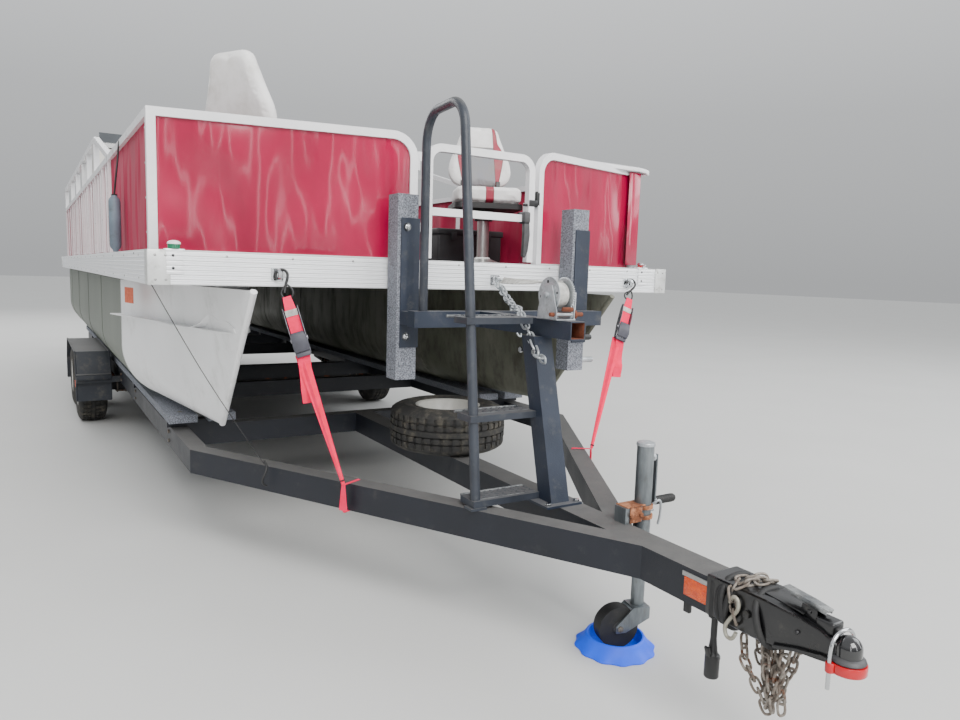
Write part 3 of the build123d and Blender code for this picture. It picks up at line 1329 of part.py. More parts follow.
with BuildPart() as coupler:
    with BuildSketch(front(TONGUE_FRONT + COUPLER_SLEEVE)):
        with Locations((0, (FRAME_TOP - 90 + FRAME_TOP + COUPLER_WALL) / 2)):
            Rectangle(2 * TONGUE_HALF + 2 * COUPLER_WALL, 90 + COUPLER_WALL)
        with Locations((0, (FRAME_TOP - 90 + FRAME_TOP) / 2)):
            Rectangle(2 * TONGUE_HALF, 90, mode=Mode.SUBTRACT)
    extrude(amount=COUPLER_SLEEVE + 40)
    loft((nose_section(TONGUE_FRONT, TONGUE_HALF + 3, FRAME_TOP + 3), nose_section(BALL_Y + 24, 30, DOME_TOP - 14)))
    with BuildSketch(side(0)):
        with BuildLine():
            Polyline(
                (BALL_Y, DOME_TOP),
                (BALL_Y, DOME_BOTTOM),
                (BALL_Y + DOME_RADIUS, DOME_BOTTOM),
                (BALL_Y + DOME_RADIUS, DOME_TOP - DOME_RADIUS),
            )
            CenterArc((BALL_Y, DOME_TOP - DOME_RADIUS), DOME_RADIUS, 0, 90)
        make_face()
    revolve(axis=Axis(place(0, BALL_Y, 0), (0, 0, 1)))
    with BuildSketch(plan(DOME_BOTTOM)):
        with Locations((0, BALL_Y)):
            Circle(SOCKET_RADIUS)
    extrude(amount=SOCKET_DEPTH, mode=Mode.SUBTRACT)
    # Latch lever
    with BuildSketch(side(-9)):
        with BuildLine():
            Polyline(
                (BALL_Y + 36, DOME_TOP - 20),
                (BALL_Y + 36, DOME_TOP + 12),
                (BALL_Y + 72, DOME_TOP + 30),
                (BALL_Y + 150, DOME_TOP + 36),
                (BALL_Y + 150, DOME_TOP + 26),
                (BALL_Y + 92, DOME_TOP - 10),
                close=True,
            )
        make_face()
    extrude(amount=18)
keep(coupler, "coupler")

with BuildPart() as lock:
    with BuildSketch(plan(DOME_BOTTOM - LOCK_THICK)):
        with Locations((0, BALL_Y)):
            Circle(LOCK_RADIUS)
            Circle(SOCKET_RADIUS + 3, mode=Mode.SUBTRACT)
    extrude(amount=LOCK_THICK)
keep(lock, "coupler_lock")

# Winch stand: a leaning post, a fore-and-aft tube, a crossbar and the angles of the bow stops
tube_bottom = STAND_LEVEL - STAND_TUBE / 2
tube_top = STAND_LEVEL + STAND_TUBE / 2
crossbar_aft = CROSSBAR_Y + STAND_TUBE / 2
stop_front = STOP_Y - STOP_SIZE / 2
with BuildPart() as stand:
    with BuildSketch(plan(FRAME_TOP)):
        with Locations((POST_X, POST_BASE)):
            Rectangle(150, 130)
    extrude(amount=PLATE)
    with BuildSketch(side(POST_X - POST / 2)):
        with BuildLine():
            Polyline(
                (POST_BASE - POST / 2, FRAME_TOP + PLATE),
                (POST_BASE + POST / 2, FRAME_TOP + PLATE),
                (POST_TOP + POST / 2, tube_bottom),
                (POST_TOP - POST / 2, tube_bottom),
                close=True,
            )
        make_face()
    extrude(amount=POST)
    with BuildSketch(front(CROSSBAR_Y - STAND_TUBE / 2)):
        with Locations((0, STAND_LEVEL)):
            Rectangle(STAND_TUBE, STAND_TUBE)
            Rectangle(STAND_TUBE - 8, STAND_TUBE - 8, mode=Mode.SUBTRACT)
    extrude(amount=CROSSBAR_Y - STAND_TUBE / 2 - ARM_FRONT)
    with BuildSketch(side(STOPS[0] - ANGLE_WIDTH / 2)):
        with Locations((CROSSBAR_Y, STAND_LEVEL)):
            Rectangle(STAND_TUBE, STAND_TUBE)
    extrude(amount=STOPS[1] - STOPS[0] + ANGLE_WIDTH)
    for x in STOPS:
        with BuildSketch(front(stop_front)):
            with Locations((x - ANGLE_WIDTH / 2, (ANGLE_BOTTOM + ANGLE_TOP) / 2)):
                Rectangle(
                    (ANGLE_WIDTH + STOP_SIZE) / 2 + ANGLE_THICK,
                    ANGLE_TOP - ANGLE_BOTTOM,
                    align=(Align.MIN, Align.CENTER),
                )
        extrude(amount=ANGLE_THICK)
        with BuildSketch(front(stop_front)):
            with Locations((x, STAND_LEVEL)):
                Rectangle(ANGLE_WIDTH, STAND_TUBE - 10)
        extrude(amount=stop_front - crossbar_aft + 2)
        with BuildSketch(side(x + STOP_SIZE / 2)):
            with Locations((STOP_Y - 25, (ANGLE_BOTTOM + ANGLE_TOP) / 2)):
                Rectangle(50, ANGLE_TOP - ANGLE_BOTTOM)
        extrude(amount=ANGLE_THICK)
keep(stand, "winch_stand")

# Boarding ladder: one tube bent over from the frame to the crossbar, with three treads
rear_leg = (STOPS[0] + 22, CROSSBAR_Y)
ladder_reach = hypot(rear_leg[0] - LADDER_X, rear_leg[1] - LADDER_FOOT)
ladder_turn = degrees(atan2(rear_leg[1] - LADDER_FOOT, rear_leg[0] - LADDER_X))
ladder_plane = upright(LADDER_X, LADDER_FOOT, ladder_turn)
with BuildPart() as ladder:
    with BuildLine(ladder_plane) as rail:
        FilletPolyline(
            (0, FRAME_TOP + LADDER_FOOT_PLATE / 2),
            (LADDER_LEAN, LADDER_TOP),
            (ladder_reach, LADDER_TOP),
            (ladder_reach, tube_top),
            radius=110,
        )
    with BuildSketch(Plane(origin=rail.line @ 0, z_dir=rail.line % 0)):
        Circle(LADDER_TUBE)
    sweep()
    with BuildSketch(plan(FRAME_TOP)):
        with Locations((LADDER_X, LADDER_FOOT)):
            Rectangle(60, 50)
    extrude(amount=LADDER_FOOT_PLATE)
    for level in LADDER_STEPS:
        climbed = (level - FRAME_TOP) / (LADDER_TOP - FRAME_TOP)
        with BuildSketch(plan(level - TREAD_THICK)):
            with Locations(((LADDER_X - 20 + POST_X - POST / 2) / 2, LADDER_FOOT + climbed * LADDER_LEAN + 20)):
                Rectangle(POST_X - POST / 2 - LADDER_X + 20, TREAD_DEPTH)
        extrude(amount=TREAD_THICK)
keep(ladder, "ladder")

# Winch on the stand's tube
with BuildPart() as winch:
    with BuildSketch(plan(tube_top)):
        with Locations((WINCH_X, WINCH_Y)):
            Rectangle(2 * WINCH_HALF, 120)
    extrude(amount=4)
    for hand in (-1, 1):
        with BuildSketch(side(WINCH_X + hand * WINCH_HALF)):
            with Locations((WINCH_Y, (tube_top + WINCH_Z + 40) / 2)):
                Rectangle(110, WINCH_Z + 40 - tube_top)
            with Locations((WINCH_Y, WINCH_Z)):
                Circle(WINCH_FLANGE)
        extrude(amount=-hand * 4)
    with BuildSketch(side(WINCH_X - WINCH_HALF)):
        with Locations((WINCH_Y, WINCH_Z)):
            Circle(WINCH_DRUM)
    extrude(amount=2 * WINCH_HALF)
    with BuildSketch(side(WINCH_X)):
        with Locations((WINCH_Y, WINCH_Z)):
            Circle(9)
    extrude(amount=WINCH_HALF + 45)
    with BuildSketch(side(WINCH_X + WINCH_HALF + 33)):
        with Locations((WINCH_Y, WINCH_Z - 75)):
            Rectangle(22, 170)
    extrude(amount=6)
    with BuildSketch(side(WINCH_X + WINCH_HALF + 33)):
        with Locations((WINCH_Y, WINCH_Z - 150)):
            Circle(11)
    extrude(amount=85)
keep(winch, "winch")


def along_line(start, end, facing):
    """Plane square to a line at its start; sketch y lies nearest the facing direction."""
    start, end = Vector(*start), Vector(*end)
    along = (end - start).normalized()
    return Plane(origin=start, x_dir=Vector(*facing).cross(along), z_dir=along)


# Tie-downs from the deck's eyes to the closing rails, and the winch strap
tie_lines = [
    (place(x, 4 - EYE_RADIUS, EYE_LEVEL - EYE_RADIUS - TIE_GAP), place(*end)) for x, end in TIE_DOWNS
]
winch_line = (
    place(WINCH_X, WINCH_Y, WINCH_Z + WINCH_DRUM + WEB_THICK / 2 + 0.3),
    place(EYES[1], 4 - 2 * EYE_RADIUS - 1.5, EYE_LEVEL),
)
with BuildPart() as straps:
    for start, end in tie_lines:
        with BuildSketch(along_line(start, end, (0, 1, 0))):
            Rectangle(26, WEB_THICK)
        extrude(amount=(Vector(*end) - Vector(*start)).length)
    with BuildSketch(along_line(*winch_line, (0, 0, 1))):
        Rectangle(40, WEB_THICK)
    extrude(amount=(Vector(*winch_line[1]) - Vector(*winch_line[0])).length)
keep(straps, "straps")

with BuildPart() as ratchets:
    for start, end in tie_lines:
        with BuildSketch(along_line(start, end, (0, 1, 0)).offset(RATCHET_DOWN)):
            with Locations((0, -14)):
                Rectangle(48, 24)
        extrude(amount=110)
keep(ratchets, "ratchets")

# Safety chains under the coupler and the trailer's plug on its cable
with BuildPart() as chains:
    for x in (-30, 30):
        with BuildLine(side(x)) as hang:
            FilletPolyline(
                (CHAIN_AFT, frame_bottom - 0.3),
                (CHAIN_AFT, CHAIN_BOTTOM),
                (CHAIN_FORE, CHAIN_BOTTOM + 60),
                (CHAIN_FORE, DOME_BOTTOM + 11.7),
                radius=60,
            )
        with BuildSketch(Plane(origin=hang.line @ 0, z_dir=hang.line % 0)):
            Circle(7)
        sweep()
keep(chains, "chains")

with BuildPart() as plug:
    with BuildSketch(plan(PLUG_BOTTOM)):
        with Locations((PLUG_X, PLUG_Y)):
            Circle(17)
    extrude(amount=62)
    with BuildSketch(plan(PLUG_BOTTOM + 62)):
        with Locations((PLUG_X, PLUG_Y)):
            Circle(5)
    extrude(amount=frame_bottom - PLUG_BOTTOM - 62)
keep(plug, "trailer_plug")

with BuildPart() as bumper:
    with BuildSketch(plan(deck_top)):
        with Locations((-corner_x - BUMPER_RADIUS, BUMPER_Y)):
            Circle(BUMPER_RADIUS)
    extrude(amount=BUMPER_HEIGHT)
    fillet(bumper.edges().filter_by(GeomType.CIRCLE), 12)
keep(bumper, "boat_bumper")
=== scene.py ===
"""Looks of a pontoon boat on its trailer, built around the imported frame.

Metres, +Z up. The bow and the trailer's tongue point along -Y, starboard is -X.
Places written with at() are measured from the deck's front edge.
"""

from __future__ import annotations

import json
import logging
import math
import random
from dataclasses import dataclass
from enum import Enum

import bmesh
import bpy
from mathutils import Matrix, Vector

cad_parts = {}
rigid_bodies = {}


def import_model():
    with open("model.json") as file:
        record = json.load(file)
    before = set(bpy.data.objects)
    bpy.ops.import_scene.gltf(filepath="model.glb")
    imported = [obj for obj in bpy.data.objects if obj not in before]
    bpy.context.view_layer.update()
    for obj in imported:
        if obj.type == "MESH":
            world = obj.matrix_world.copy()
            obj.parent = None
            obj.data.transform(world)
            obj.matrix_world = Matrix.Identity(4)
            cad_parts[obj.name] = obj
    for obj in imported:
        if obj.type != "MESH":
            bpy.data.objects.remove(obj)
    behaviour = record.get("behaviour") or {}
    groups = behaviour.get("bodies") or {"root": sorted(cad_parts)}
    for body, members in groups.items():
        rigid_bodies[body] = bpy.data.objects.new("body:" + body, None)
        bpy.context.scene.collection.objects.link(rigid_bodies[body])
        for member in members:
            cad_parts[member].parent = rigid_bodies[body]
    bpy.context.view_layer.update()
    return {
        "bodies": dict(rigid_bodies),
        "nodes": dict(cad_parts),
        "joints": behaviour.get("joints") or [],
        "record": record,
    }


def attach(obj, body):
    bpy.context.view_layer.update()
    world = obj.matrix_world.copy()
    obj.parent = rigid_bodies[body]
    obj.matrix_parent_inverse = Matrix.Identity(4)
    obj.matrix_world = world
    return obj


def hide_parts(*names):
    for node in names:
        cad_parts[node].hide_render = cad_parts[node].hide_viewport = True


log = logging.getLogger("boat")
BASE = "boat_and_trailer"
DECK_FRONT = -3.037
NOSE_END = 1.53                     # where the pontoons' nose ends, aft of the deck's front edge
TRIM_LOW = 1.151
TRIM_HIGH = 1.271
BOARD_TOP = 1.268
AXLES = (3.640, 4.330)
CORE = 0.0005                       # radius at which a turned solid's outline meets its axis
WINCH = (-0.008, -0.700, 1.157)
UP = Vector((0, 0, 1))
PORT = Vector((1, 0, 0))
Point = tuple[float, float, float]
Colour = tuple[float, float, float]


def at(x: float, y: float, z: float) -> Vector:
    """Return the frame's point that lies y aft of the deck's front edge."""
    return Vector((x, DECK_FRONT + y, z))


def path(*places: Point) -> list[Vector]:
    """Return the frame's points for places measured as at() does."""
    return [at(*place) for place in places]


def beside(foot: Vector, *steps: Point) -> list[Vector]:
    """Return the points that lie these steps away from a foot."""
    return [foot + Vector(step) for step in steps]


def angles(count: int) -> list[float]:
    """Return the angles of so many even steps round a circle."""
    return [math.tau * k / count for k in range(count)]


def turned(degrees: float, axis: str) -> Matrix:
    """Return a turn about one of the frame's axes."""
    return Matrix.Rotation(math.radians(degrees), 4, axis)


def aimed(centre: Vector, axis: Vector) -> Matrix:
    """Return the place at a centre whose Z points along an axis."""
    return Matrix.Translation(centre) @ axis.to_track_quat("Z", "Y").to_matrix().to_4x4()


def shown(name: str, data: bpy.types.ID) -> bpy.types.Object:
    """Return an object with this data, linked into the scene."""
    made = bpy.data.objects.new(name, data)
    bpy.context.scene.collection.objects.link(made)
    return made


def srgb(red: int, green: int, blue: int) -> Colour:
    """Return a screen colour of 0 to 255 as linear light.

    Args:
        red, green, blue: the colour as a screen shows it.

    Returns:
        The linear colour that a shader takes.
    """
    def linear(value: int) -> float:
        """Return one channel in linear light."""
        share = value / 255
        return share / 12.92 if share <= 0.04045 else ((share + 0.055) / 1.055) ** 2.4

    return linear(red), linear(green), linear(blue)


class Wire:
    """A shader socket that can stand in arithmetic."""

    def __init__(self, graph: "Graph", socket: bpy.types.NodeSocket) -> None:
        """Keep the socket and the graph it belongs to."""
        self.graph = graph
        self.socket = socket

    def _join(self, operation: str, left: "Wire | float", right: "Wire | float") -> "Wire":
        """Return the result of one Math node on two values."""
        return self.graph.node("ShaderNodeMath", {"operation": operation}, {0: left, 1: right})

    def __add__(self, other: "Wire | float") -> "Wire":
        """Return the sum."""
        return self._join("ADD", self, other)

    def __radd__(self, other: float) -> "Wire":
        """Return the sum."""
        return self._join("ADD", other, self)

    def __sub__(self, other: "Wire | float") -> "Wire":
        """Return the difference."""
        return self._join("SUBTRACT", self, other)

    def __rsub__(self, other: float) -> "Wire":
        """Return the number less this value."""
        return self._join("SUBTRACT", other, self)

    def __mul__(self, other: "Wire | float") -> "Wire":
        """Return the product."""
        return self._join("MULTIPLY", self, other)

    def __rmul__(self, other: float) -> "Wire":
        """Return the product."""
        return self._join("MULTIPLY", other, self)

    def __pow__(self, other: float) -> "Wire":
        """Return the power."""
        return self._join("POWER", self, other)

    def __abs__(self) -> "Wire":
        """Return the value without its sign."""
        return self.graph.node("ShaderNodeMath", {"operation": "ABSOLUTE"}, {0: self})

    def folded(self, width: float) -> "Wire":
        """Return the value folded to and fro between 0 and the width."""
        return self._join("PINGPONG", self, width)

    def above(self, limit: float, soft: float) -> "Wire":
        """Return 0 below the limit and 1 above it, with a soft edge.

        Args:
            limit: the middle of the edge.
            soft: half the edge's width.

        Returns:
            The masked value, from 0 to 1.
        """
        settings = {"clamp": True, "interpolation_type": "SMOOTHSTEP"}
        return self.graph.node("ShaderNodeMapRange", settings,
                               {0: self, 1: limit - soft, 2: limit + soft, 3: 0.0, 4: 1.0})


class Graph:
    """The nodes of one material."""

    def __init__(self, name: str) -> None:
        """Start a material with its shader joined to its output."""
        self.material = bpy.data.materials.new(name)
        self.material.use_nodes = True
        self.tree = self.material.node_tree
        self.tree.nodes.clear()
        self.shader = self.tree.nodes.new("ShaderNodeBsdfPrincipled")
        output = self.tree.nodes.new("ShaderNodeOutputMaterial")
        self.tree.links.new(self.shader.outputs[0], output.inputs[0])
        coordinates = self.tree.nodes.new("ShaderNodeTexCoord")
        self.place = Wire(self, coordinates.outputs["Object"])

    def node(self, kind: str, settings: dict, values: dict, output: int | str = 0) -> Wire:
        """Add a node.

        Args:
            kind: the node's type.
            settings: its own settings, such as an operation, or a ramp's stops.
            values: numbers, colours or wires by socket name or place.
            output: the output to return.

        Returns:
            The chosen output.
        """
        made = self.tree.nodes.new(kind)
        for key, value in settings.items():
            if key == "stops":
                ramp = made.color_ramp.elements
                while len(ramp) < len(value):
                    ramp.new(0.5)
                for element, (position, colour) in zip(ramp, value):
                    element.position, element.color = position, (*colour, 1.0)
            else:
                setattr(made, key, value)
        for key, value in values.items():
            if isinstance(value, Wire):
                self.tree.links.new(value.socket, made.inputs[key])
            else:
                made.inputs[key].default_value = value
        return Wire(self, made.outputs[output])

    def along(self, axis: str) -> Wire:
        """Return one of the object's coordinates."""
        return self.node("ShaderNodeSeparateXYZ", {}, {0: self.place}, axis)

    def facing(self, axis: str) -> Wire:
        """Return how far the surface faces along an axis, from -1 to 1."""
        geometry = self.node("ShaderNodeNewGeometry", {}, {}, "Normal")
        return self.node("ShaderNodeSeparateXYZ", {}, {0: geometry}, axis)

    def stretched(self, scale: Point, turn: Point = (0, 0, 0)) -> Wire:
        """Return the object's coordinates, scaled and turned."""
        return self.node("ShaderNodeMapping", {}, {"Vector": self.place, "Scale": scale, "Rotation": turn})

    def speckle(self, scale: float, detail: float = 2.0, where: Wire | None = None,
                rough: float = 0.5) -> Wire:
        """Return a noise from 0 to 1 at this scale."""
        values = {"Vector": where or self.place, "Scale": scale, "Detail": detail, "Roughness": rough}
        return self.node("ShaderNodeTexNoise", {}, values)

    def cells(self, scale: float) -> Wire:
        """Return the distance from the middle of the cells, at this scale."""
        return self.node("ShaderNodeTexVoronoi", {}, {"Vector": self.place, "Scale": scale}, "Distance")

    def mix(self, factor: Wire | float, first: Wire | Colour, second: Wire | Colour) -> Wire:
        """Return one colour turning into another as the factor goes from 0 to 1."""
        def rgba(colour: Wire | Colour) -> Wire | tuple:
            """Return a colour with its alpha."""
            return colour if isinstance(colour, Wire) else (*colour, 1.0)

        settings = {"data_type": "RGBA", "clamp_factor": True}
        return self.node("ShaderNodeMix", settings, {0: factor, 6: rgba(first), 7: rgba(second)}, 2)

    def bump(self, height: Wire, distance: float, strength: float = 1.0, normal: Wire | None = None) -> Wire:
        """Return a normal raised by a height, over an earlier normal if there is one."""
        values = {"Strength": strength, "Distance": distance, "Height": height}
        if normal is not None:
            values["Normal"] = normal
        return self.node("ShaderNodeBump", {}, values)

    def finish(self, **sockets: Wire | float | tuple) -> bpy.types.Material:
        """Set the shader's sockets and return the material."""
        for key, value in sockets.items():
            target = self.shader.inputs[key.replace("_", " ")]
            if isinstance(value, Wire):
                self.tree.links.new(value.socket, target)
            else:
                target.default_value = value
        return self.material


@dataclass(frozen=True)
class Finish:
    """A surface: its colour, how it wears, how it shines and how rough it feels."""

    base: Colour
    second: Colour | None = None
    patch: float = 6.0              # size of the colour's patches, per metre
    dirt: Colour = (0.05, 0.045, 0.035)
    dirty: float = 0.0              # how much dirt lies on it
    rust: float = 0.0               # how much of it has rusted
    rough: float = 0.5
    uneven: float = 0.12
    metal: float = 0.0
    coat: float = 0.0
    grain: float = 300.0            # grains per metre
    depth: float = 0.0              # height of the grain
    stretch: Point = (1, 1, 1)
    waves: float = 0.0              # slow waves of thin sheet
    dust: float = 0.0               # how much dust lies on what faces up
    flutes: float = 0.0             # height of the trim's grooves, from one to the next
    cells: float = 0.0              # a lens' moulded cells per metre
    # aft: partly real darker metal behind the light nose paint, and partly painted light, its green tint a
    # painted reflection of foliage.
    aft: Colour | None = None       # the colour behind the pontoon's nose
    side_rough: float = 0.0         # how much rougher it is where it faces sideways

    def build(self, name: str) -> bpy.types.Material:
        """Make the material.

        Args:
            name: the material's name.

        Returns:
            The material, ready to be put on a piece.
        """
        graph = Graph(name)
        where = graph.stretched(self.stretch)
        patches = graph.speckle(self.patch, 4, where, 0.6)
        second = self.second or tuple(c * 0.8 for c in self.base)
        colour = graph.mix(patches.above(0.5, 0.22), self.base, second)
        rough = self.rough + (patches - 0.5) * self.uneven * 2
        # Behind the nose: darker metal, partly real and partly painted light, its green tint a painted
        # reflection of foliage.
        if self.aft:
            behind = graph.along("Y").above(DECK_FRONT + NOSE_END, 0.003)
            grey = graph.mix(patches.above(0.5, 0.3), self.aft, srgb(116, 122, 112))
            colour = graph.mix(behind, colour, grey)
        if self.dirty:
            stains = graph.speckle(self.patch * 2.7, 8, where, 0.7).above(1 - self.dirty, 0.16)
            colour = graph.mix(stains * 0.75, colour, self.dirt)
            rough = rough + stains * 0.15
        if self.dust:
            lying = graph.facing("Z").above(0.7, 0.2) * (0.45 + graph.speckle(24, 6, None, 0.7) * 0.7)
            colour = graph.mix(lying * self.dust, colour, srgb(122, 120, 116))
            rough = rough + lying * 0.25
        metal = self.metal
        coat = self.coat
        if self.side_rough:
            ahead = graph.facing("Y") * graph.facing("Y")
            rough = rough + (1 - ahead.above(0.5, 0.2)) * self.side_rough
            coat = ahead.above(0.5, 0.2) * self.coat
        height = graph.speckle(self.grain, 3, where)
        if self.rust:
            eaten = graph.speckle(9.0, 10, None, 0.72).above(1 - self.rust, 0.035)
            tone = graph.mix(graph.speckle(90, 5), srgb(82, 48, 34), srgb(140, 84, 52))
            colour = graph.mix(eaten, colour, tone)
            rough = rough + eaten * 0.4
            height = height + eaten * graph.speckle(220, 4)
            if self.metal:
                metal = (1 - eaten) * self.metal
        sockets = {"Base_Color": colour, "Roughness": rough, "Metallic": metal}
        if self.coat:
            sockets["Coat_Weight"] = coat
            sockets["Coat_Roughness"] = 0.08
        normal = graph.bump(height, self.depth) if self.depth else None
        if self.flutes:
            groove = (graph.along("Z") - TRIM_LOW).folded(self.flutes / 2)
            normal = graph.bump(groove.above(self.flutes * 0.12, self.flutes * 0.12), 0.0022, 1.0, normal)
        if self.cells:
            normal = graph.bump(graph.cells(self.cells), 0.0012, 1.0, normal)
        if self.waves:
            slow = graph.speckle(2.2, 1, graph.stretched((1.6, 1.6, 0.7), (0, 0.5, 0)))
            ripple = graph.speckle(7.5, 1, graph.stretched((1.4, 1.4, 0.35), (0, 0.62, 0)))
            normal = graph.bump(slow + ripple * 0.12, self.waves, 1.0, normal)
        if normal is not None:
            sockets["Normal"] = normal
        return graph.finish(**sockets)


class Paint(Enum):
    """Every finish on the boat and its trailer, by the name of what carries it."""

    # Light nose paint; aft of it a green-grey that is partly real darker metal and partly a painted
    # reflection of foliage.
    PONTOON = Finish(srgb(246, 246, 247), srgb(234, 235, 235), 1.6, srgb(150, 152, 142), 0.32, 0.0, 0.50,
                     0.08, 0.25, grain=60, depth=0.0004, stretch=(1, 1, 0.55), aft=srgb(92, 98, 88))
    CROSSBEAM = Finish(srgb(120, 120, 116), dirty=0.4, rough=0.55, metal=0.5)
    CARPET = Finish(srgb(92, 92, 94), srgb(70, 70, 74), 14.0, dirty=0.3, rough=0.95, grain=700, depth=0.002)
    TRIM = Finish(srgb(252, 253, 255), srgb(244, 246, 249), 2.0, srgb(164, 164, 158), 0.26, rough=0.34,
                  metal=0.3, grain=500, depth=0.0002, flutes=0.0165)
    RAIL = Finish(srgb(240, 239, 240), srgb(226, 226, 228), 4.0, srgb(160, 156, 148), 0.24, rough=0.30,
                  coat=0.3)
    PANEL = Finish(srgb(172, 6, 64), srgb(154, 4, 54), 1.6, srgb(108, 14, 42), 0.18, rough=0.20, uneven=0.04,
                   coat=1.0, waves=0.16, side_rough=0.5)
    SATIN = Finish(srgb(186, 186, 184), srgb(160, 160, 158), dirty=0.25, rough=0.35, metal=0.8)
    BLACK = Finish(srgb(24, 24, 25), srgb(34, 34, 35), dirty=0.25, rough=0.45)
    VINYL = Finish(srgb(228, 226, 220), srgb(214, 211, 202), 5.0, srgb(136, 128, 110), 0.22, rough=0.45,
                   grain=900, depth=0.0004)
    GELCOAT = Finish(srgb(216, 213, 204), dirty=0.25, rough=0.3, coat=0.4)
    BUMPER = Finish(srgb(112, 128, 140), srgb(92, 104, 116), dirty=0.35, rough=0.5)
    COWL = Finish(srgb(22, 23, 25), srgb(30, 31, 33), 2.0, dirty=0.15, rough=0.25, coat=0.7)
    FRAME = Finish(srgb(13, 17, 27), srgb(20, 24, 34), 5.0, srgb(70, 68, 66), 0.30, 0.25, 0.45, 0.15,
                   grain=260, depth=0.0006, dust=0.55)
    BUNK = Finish(srgb(58, 61, 70), srgb(172, 176, 186), 240.0, srgb(66, 67, 70), 0.40, rough=0.97,
                  uneven=0.02, grain=420, depth=0.004)
    AXLE = Finish(srgb(36, 36, 38), dirty=0.4, rust=0.42, rough=0.6, grain=200, depth=0.0006)
    TYRE = Finish(srgb(34, 34, 34), srgb(48, 47, 45), 8.0, srgb(104, 98, 86), 0.40, rough=0.8, grain=400,
                  depth=0.0004)
    RIM = Finish(srgb(196, 195, 190), srgb(174, 172, 165), dirty=0.3, rust=0.3, rough=0.35, coat=0.3)
    RUSTY = Finish(srgb(152, 146, 138), srgb(114, 102, 92), 40.0, srgb(84, 76, 68), 0.4, 0.40, rough=0.7,
                   metal=0.35, grain=300, depth=0.001)
    CLAMP = Finish(srgb(150, 96, 66), srgb(176, 120, 86), 40.0, dirty=0.3, rust=0.5, rough=0.8, grain=300,
                   depth=0.001)
    ZINC = Finish(srgb(196, 200, 203), srgb(160, 165, 169), 26.0, srgb(118, 114, 106), 0.34, 0.22, 0.36,
                  0.12, 0.6, grain=120, depth=0.0003)
    RATCHET = Finish(srgb(150, 150, 156), srgb(112, 112, 120), 20.0, dirty=0.35, rust=0.2, rough=0.4,
                     metal=0.6)
    SHIELD = Finish(srgb(74, 74, 84), srgb(58, 58, 66), 14.0, dirty=0.3, rough=0.5, grain=500, depth=0.0003)
    HOOK = Finish(srgb(170, 168, 156), srgb(140, 134, 120), 40.0, dirty=0.3, rust=0.3, rough=0.5, metal=0.4)
    TUBE = Finish(srgb(134, 140, 143), srgb(98, 104, 108), 22.0, srgb(98, 94, 86), 0.34, 0.22, 0.36, 0.12,
                  0.75, grain=120, depth=0.0003, stretch=(1, 1, 0.25))
    DOCK = Finish(srgb(0, 88, 255), srgb(0, 78, 240), 9.0, srgb(34, 92, 196), 0.2, rough=0.5, grain=300,
                  depth=0.0004)
    STAND = Finish(srgb(28, 36, 50), srgb(38, 46, 61), 7.0, srgb(92, 90, 86), 0.32, 0.25, 0.45, 0.15,
                   grain=240, depth=0.0006, dust=0.45)
    LADDER = Finish(srgb(38, 42, 50), srgb(48, 53, 62), 9.0, srgb(92, 92, 90), 0.32, 0.22, 0.42, 0.15,
                    dust=0.35)
    WEBBING = Finish(srgb(255, 0, 86), srgb(244, 0, 72), 30.0, srgb(190, 6, 60), 0.2, rough=0.8,
                     grain=900, depth=0.0008)
    HANDLE = Finish(srgb(74, 74, 76), srgb(52, 52, 54), dirty=0.4, rough=0.45, metal=0.7)
    LOCK = Finish(srgb(196, 0, 20), srgb(178, 0, 16), dirty=0.15, rough=0.3, coat=0.5)
    GREEN = Finish(srgb(16, 112, 78), rough=0.12, uneven=0.02, coat=0.8)
    WHITE = Finish(srgb(240, 240, 238), dirty=0.15, rough=0.3)
    AMBER = Finish(srgb(228, 84, 0), srgb(196, 60, 0), 60.0, rough=0.22, coat=0.3, cells=260.0)
    CHROME = Finish(srgb(206, 208, 210), dirty=0.2, rough=0.14, uneven=0.05, metal=1.0)
    STICKER = Finish(srgb(224, 104, 60), srgb(206, 86, 48), 60.0, dirty=0.2, rough=0.5)
    # Painted shade: the pontoons' aluminium darkened for the port pontoon and the motor pod, with an olive
    # tint that is a painted reflection of foliage; its stains are real.
    OLIVE = Finish(srgb(126, 126, 114), srgb(102, 104, 90), 3.0, srgb(56, 54, 44), 0.44, 0.0, 0.5, 0.1, 0.3,
                   grain=60, depth=0.0006, stretch=(1, 1, 0.35))
    CAP = Finish(srgb(220, 221, 220), srgb(202, 204, 202), 9.0, srgb(140, 138, 128), 0.36, rough=0.36,
                 metal=0.4)
    FENDER = Finish(srgb(34, 38, 46), srgb(44, 48, 55), 5.0, srgb(96, 92, 84), 0.36, 0.22, 0.5, 0.15,
                    grain=260, depth=0.0004, dust=0.5)
    COUPLER = Finish(srgb(9, 9, 11), srgb(16, 16, 18), 12.0, srgb(70, 66, 60), 0.30, 0.24, 0.3, 0.1,
                     grain=240, depth=0.0003, coat=0.35)
    DOME = Finish(srgb(16, 16, 18), srgb(20, 20, 22), 12.0, dirty=0.12, rough=0.12, uneven=0.04, coat=0.9)
    PROPELLER = Finish(srgb(150, 150, 148), srgb(120, 120, 118), 12.0, dirty=0.3, rough=0.35, metal=0.7)
    RUBBER = Finish(srgb(28, 28, 29), srgb(38, 38, 38), 20.0, srgb(84, 80, 72), 0.3, rough=0.65, grain=500,
                    depth=0.0003)
    WHEEL_GREY = Finish(srgb(72, 72, 74), srgb(54, 54, 56), 30.0, dirty=0.35, rough=0.5)
    RUSTY_ZINC = Finish(srgb(132, 128, 120), srgb(108, 100, 92), 40.0, dirty=0.4, rust=0.42, rough=0.5,
                        metal=0.6)
    RUST = Finish(srgb(124, 66, 42), srgb(92, 52, 36), 60.0, dirty=0.3, rough=0.9, grain=400, depth=0.001)
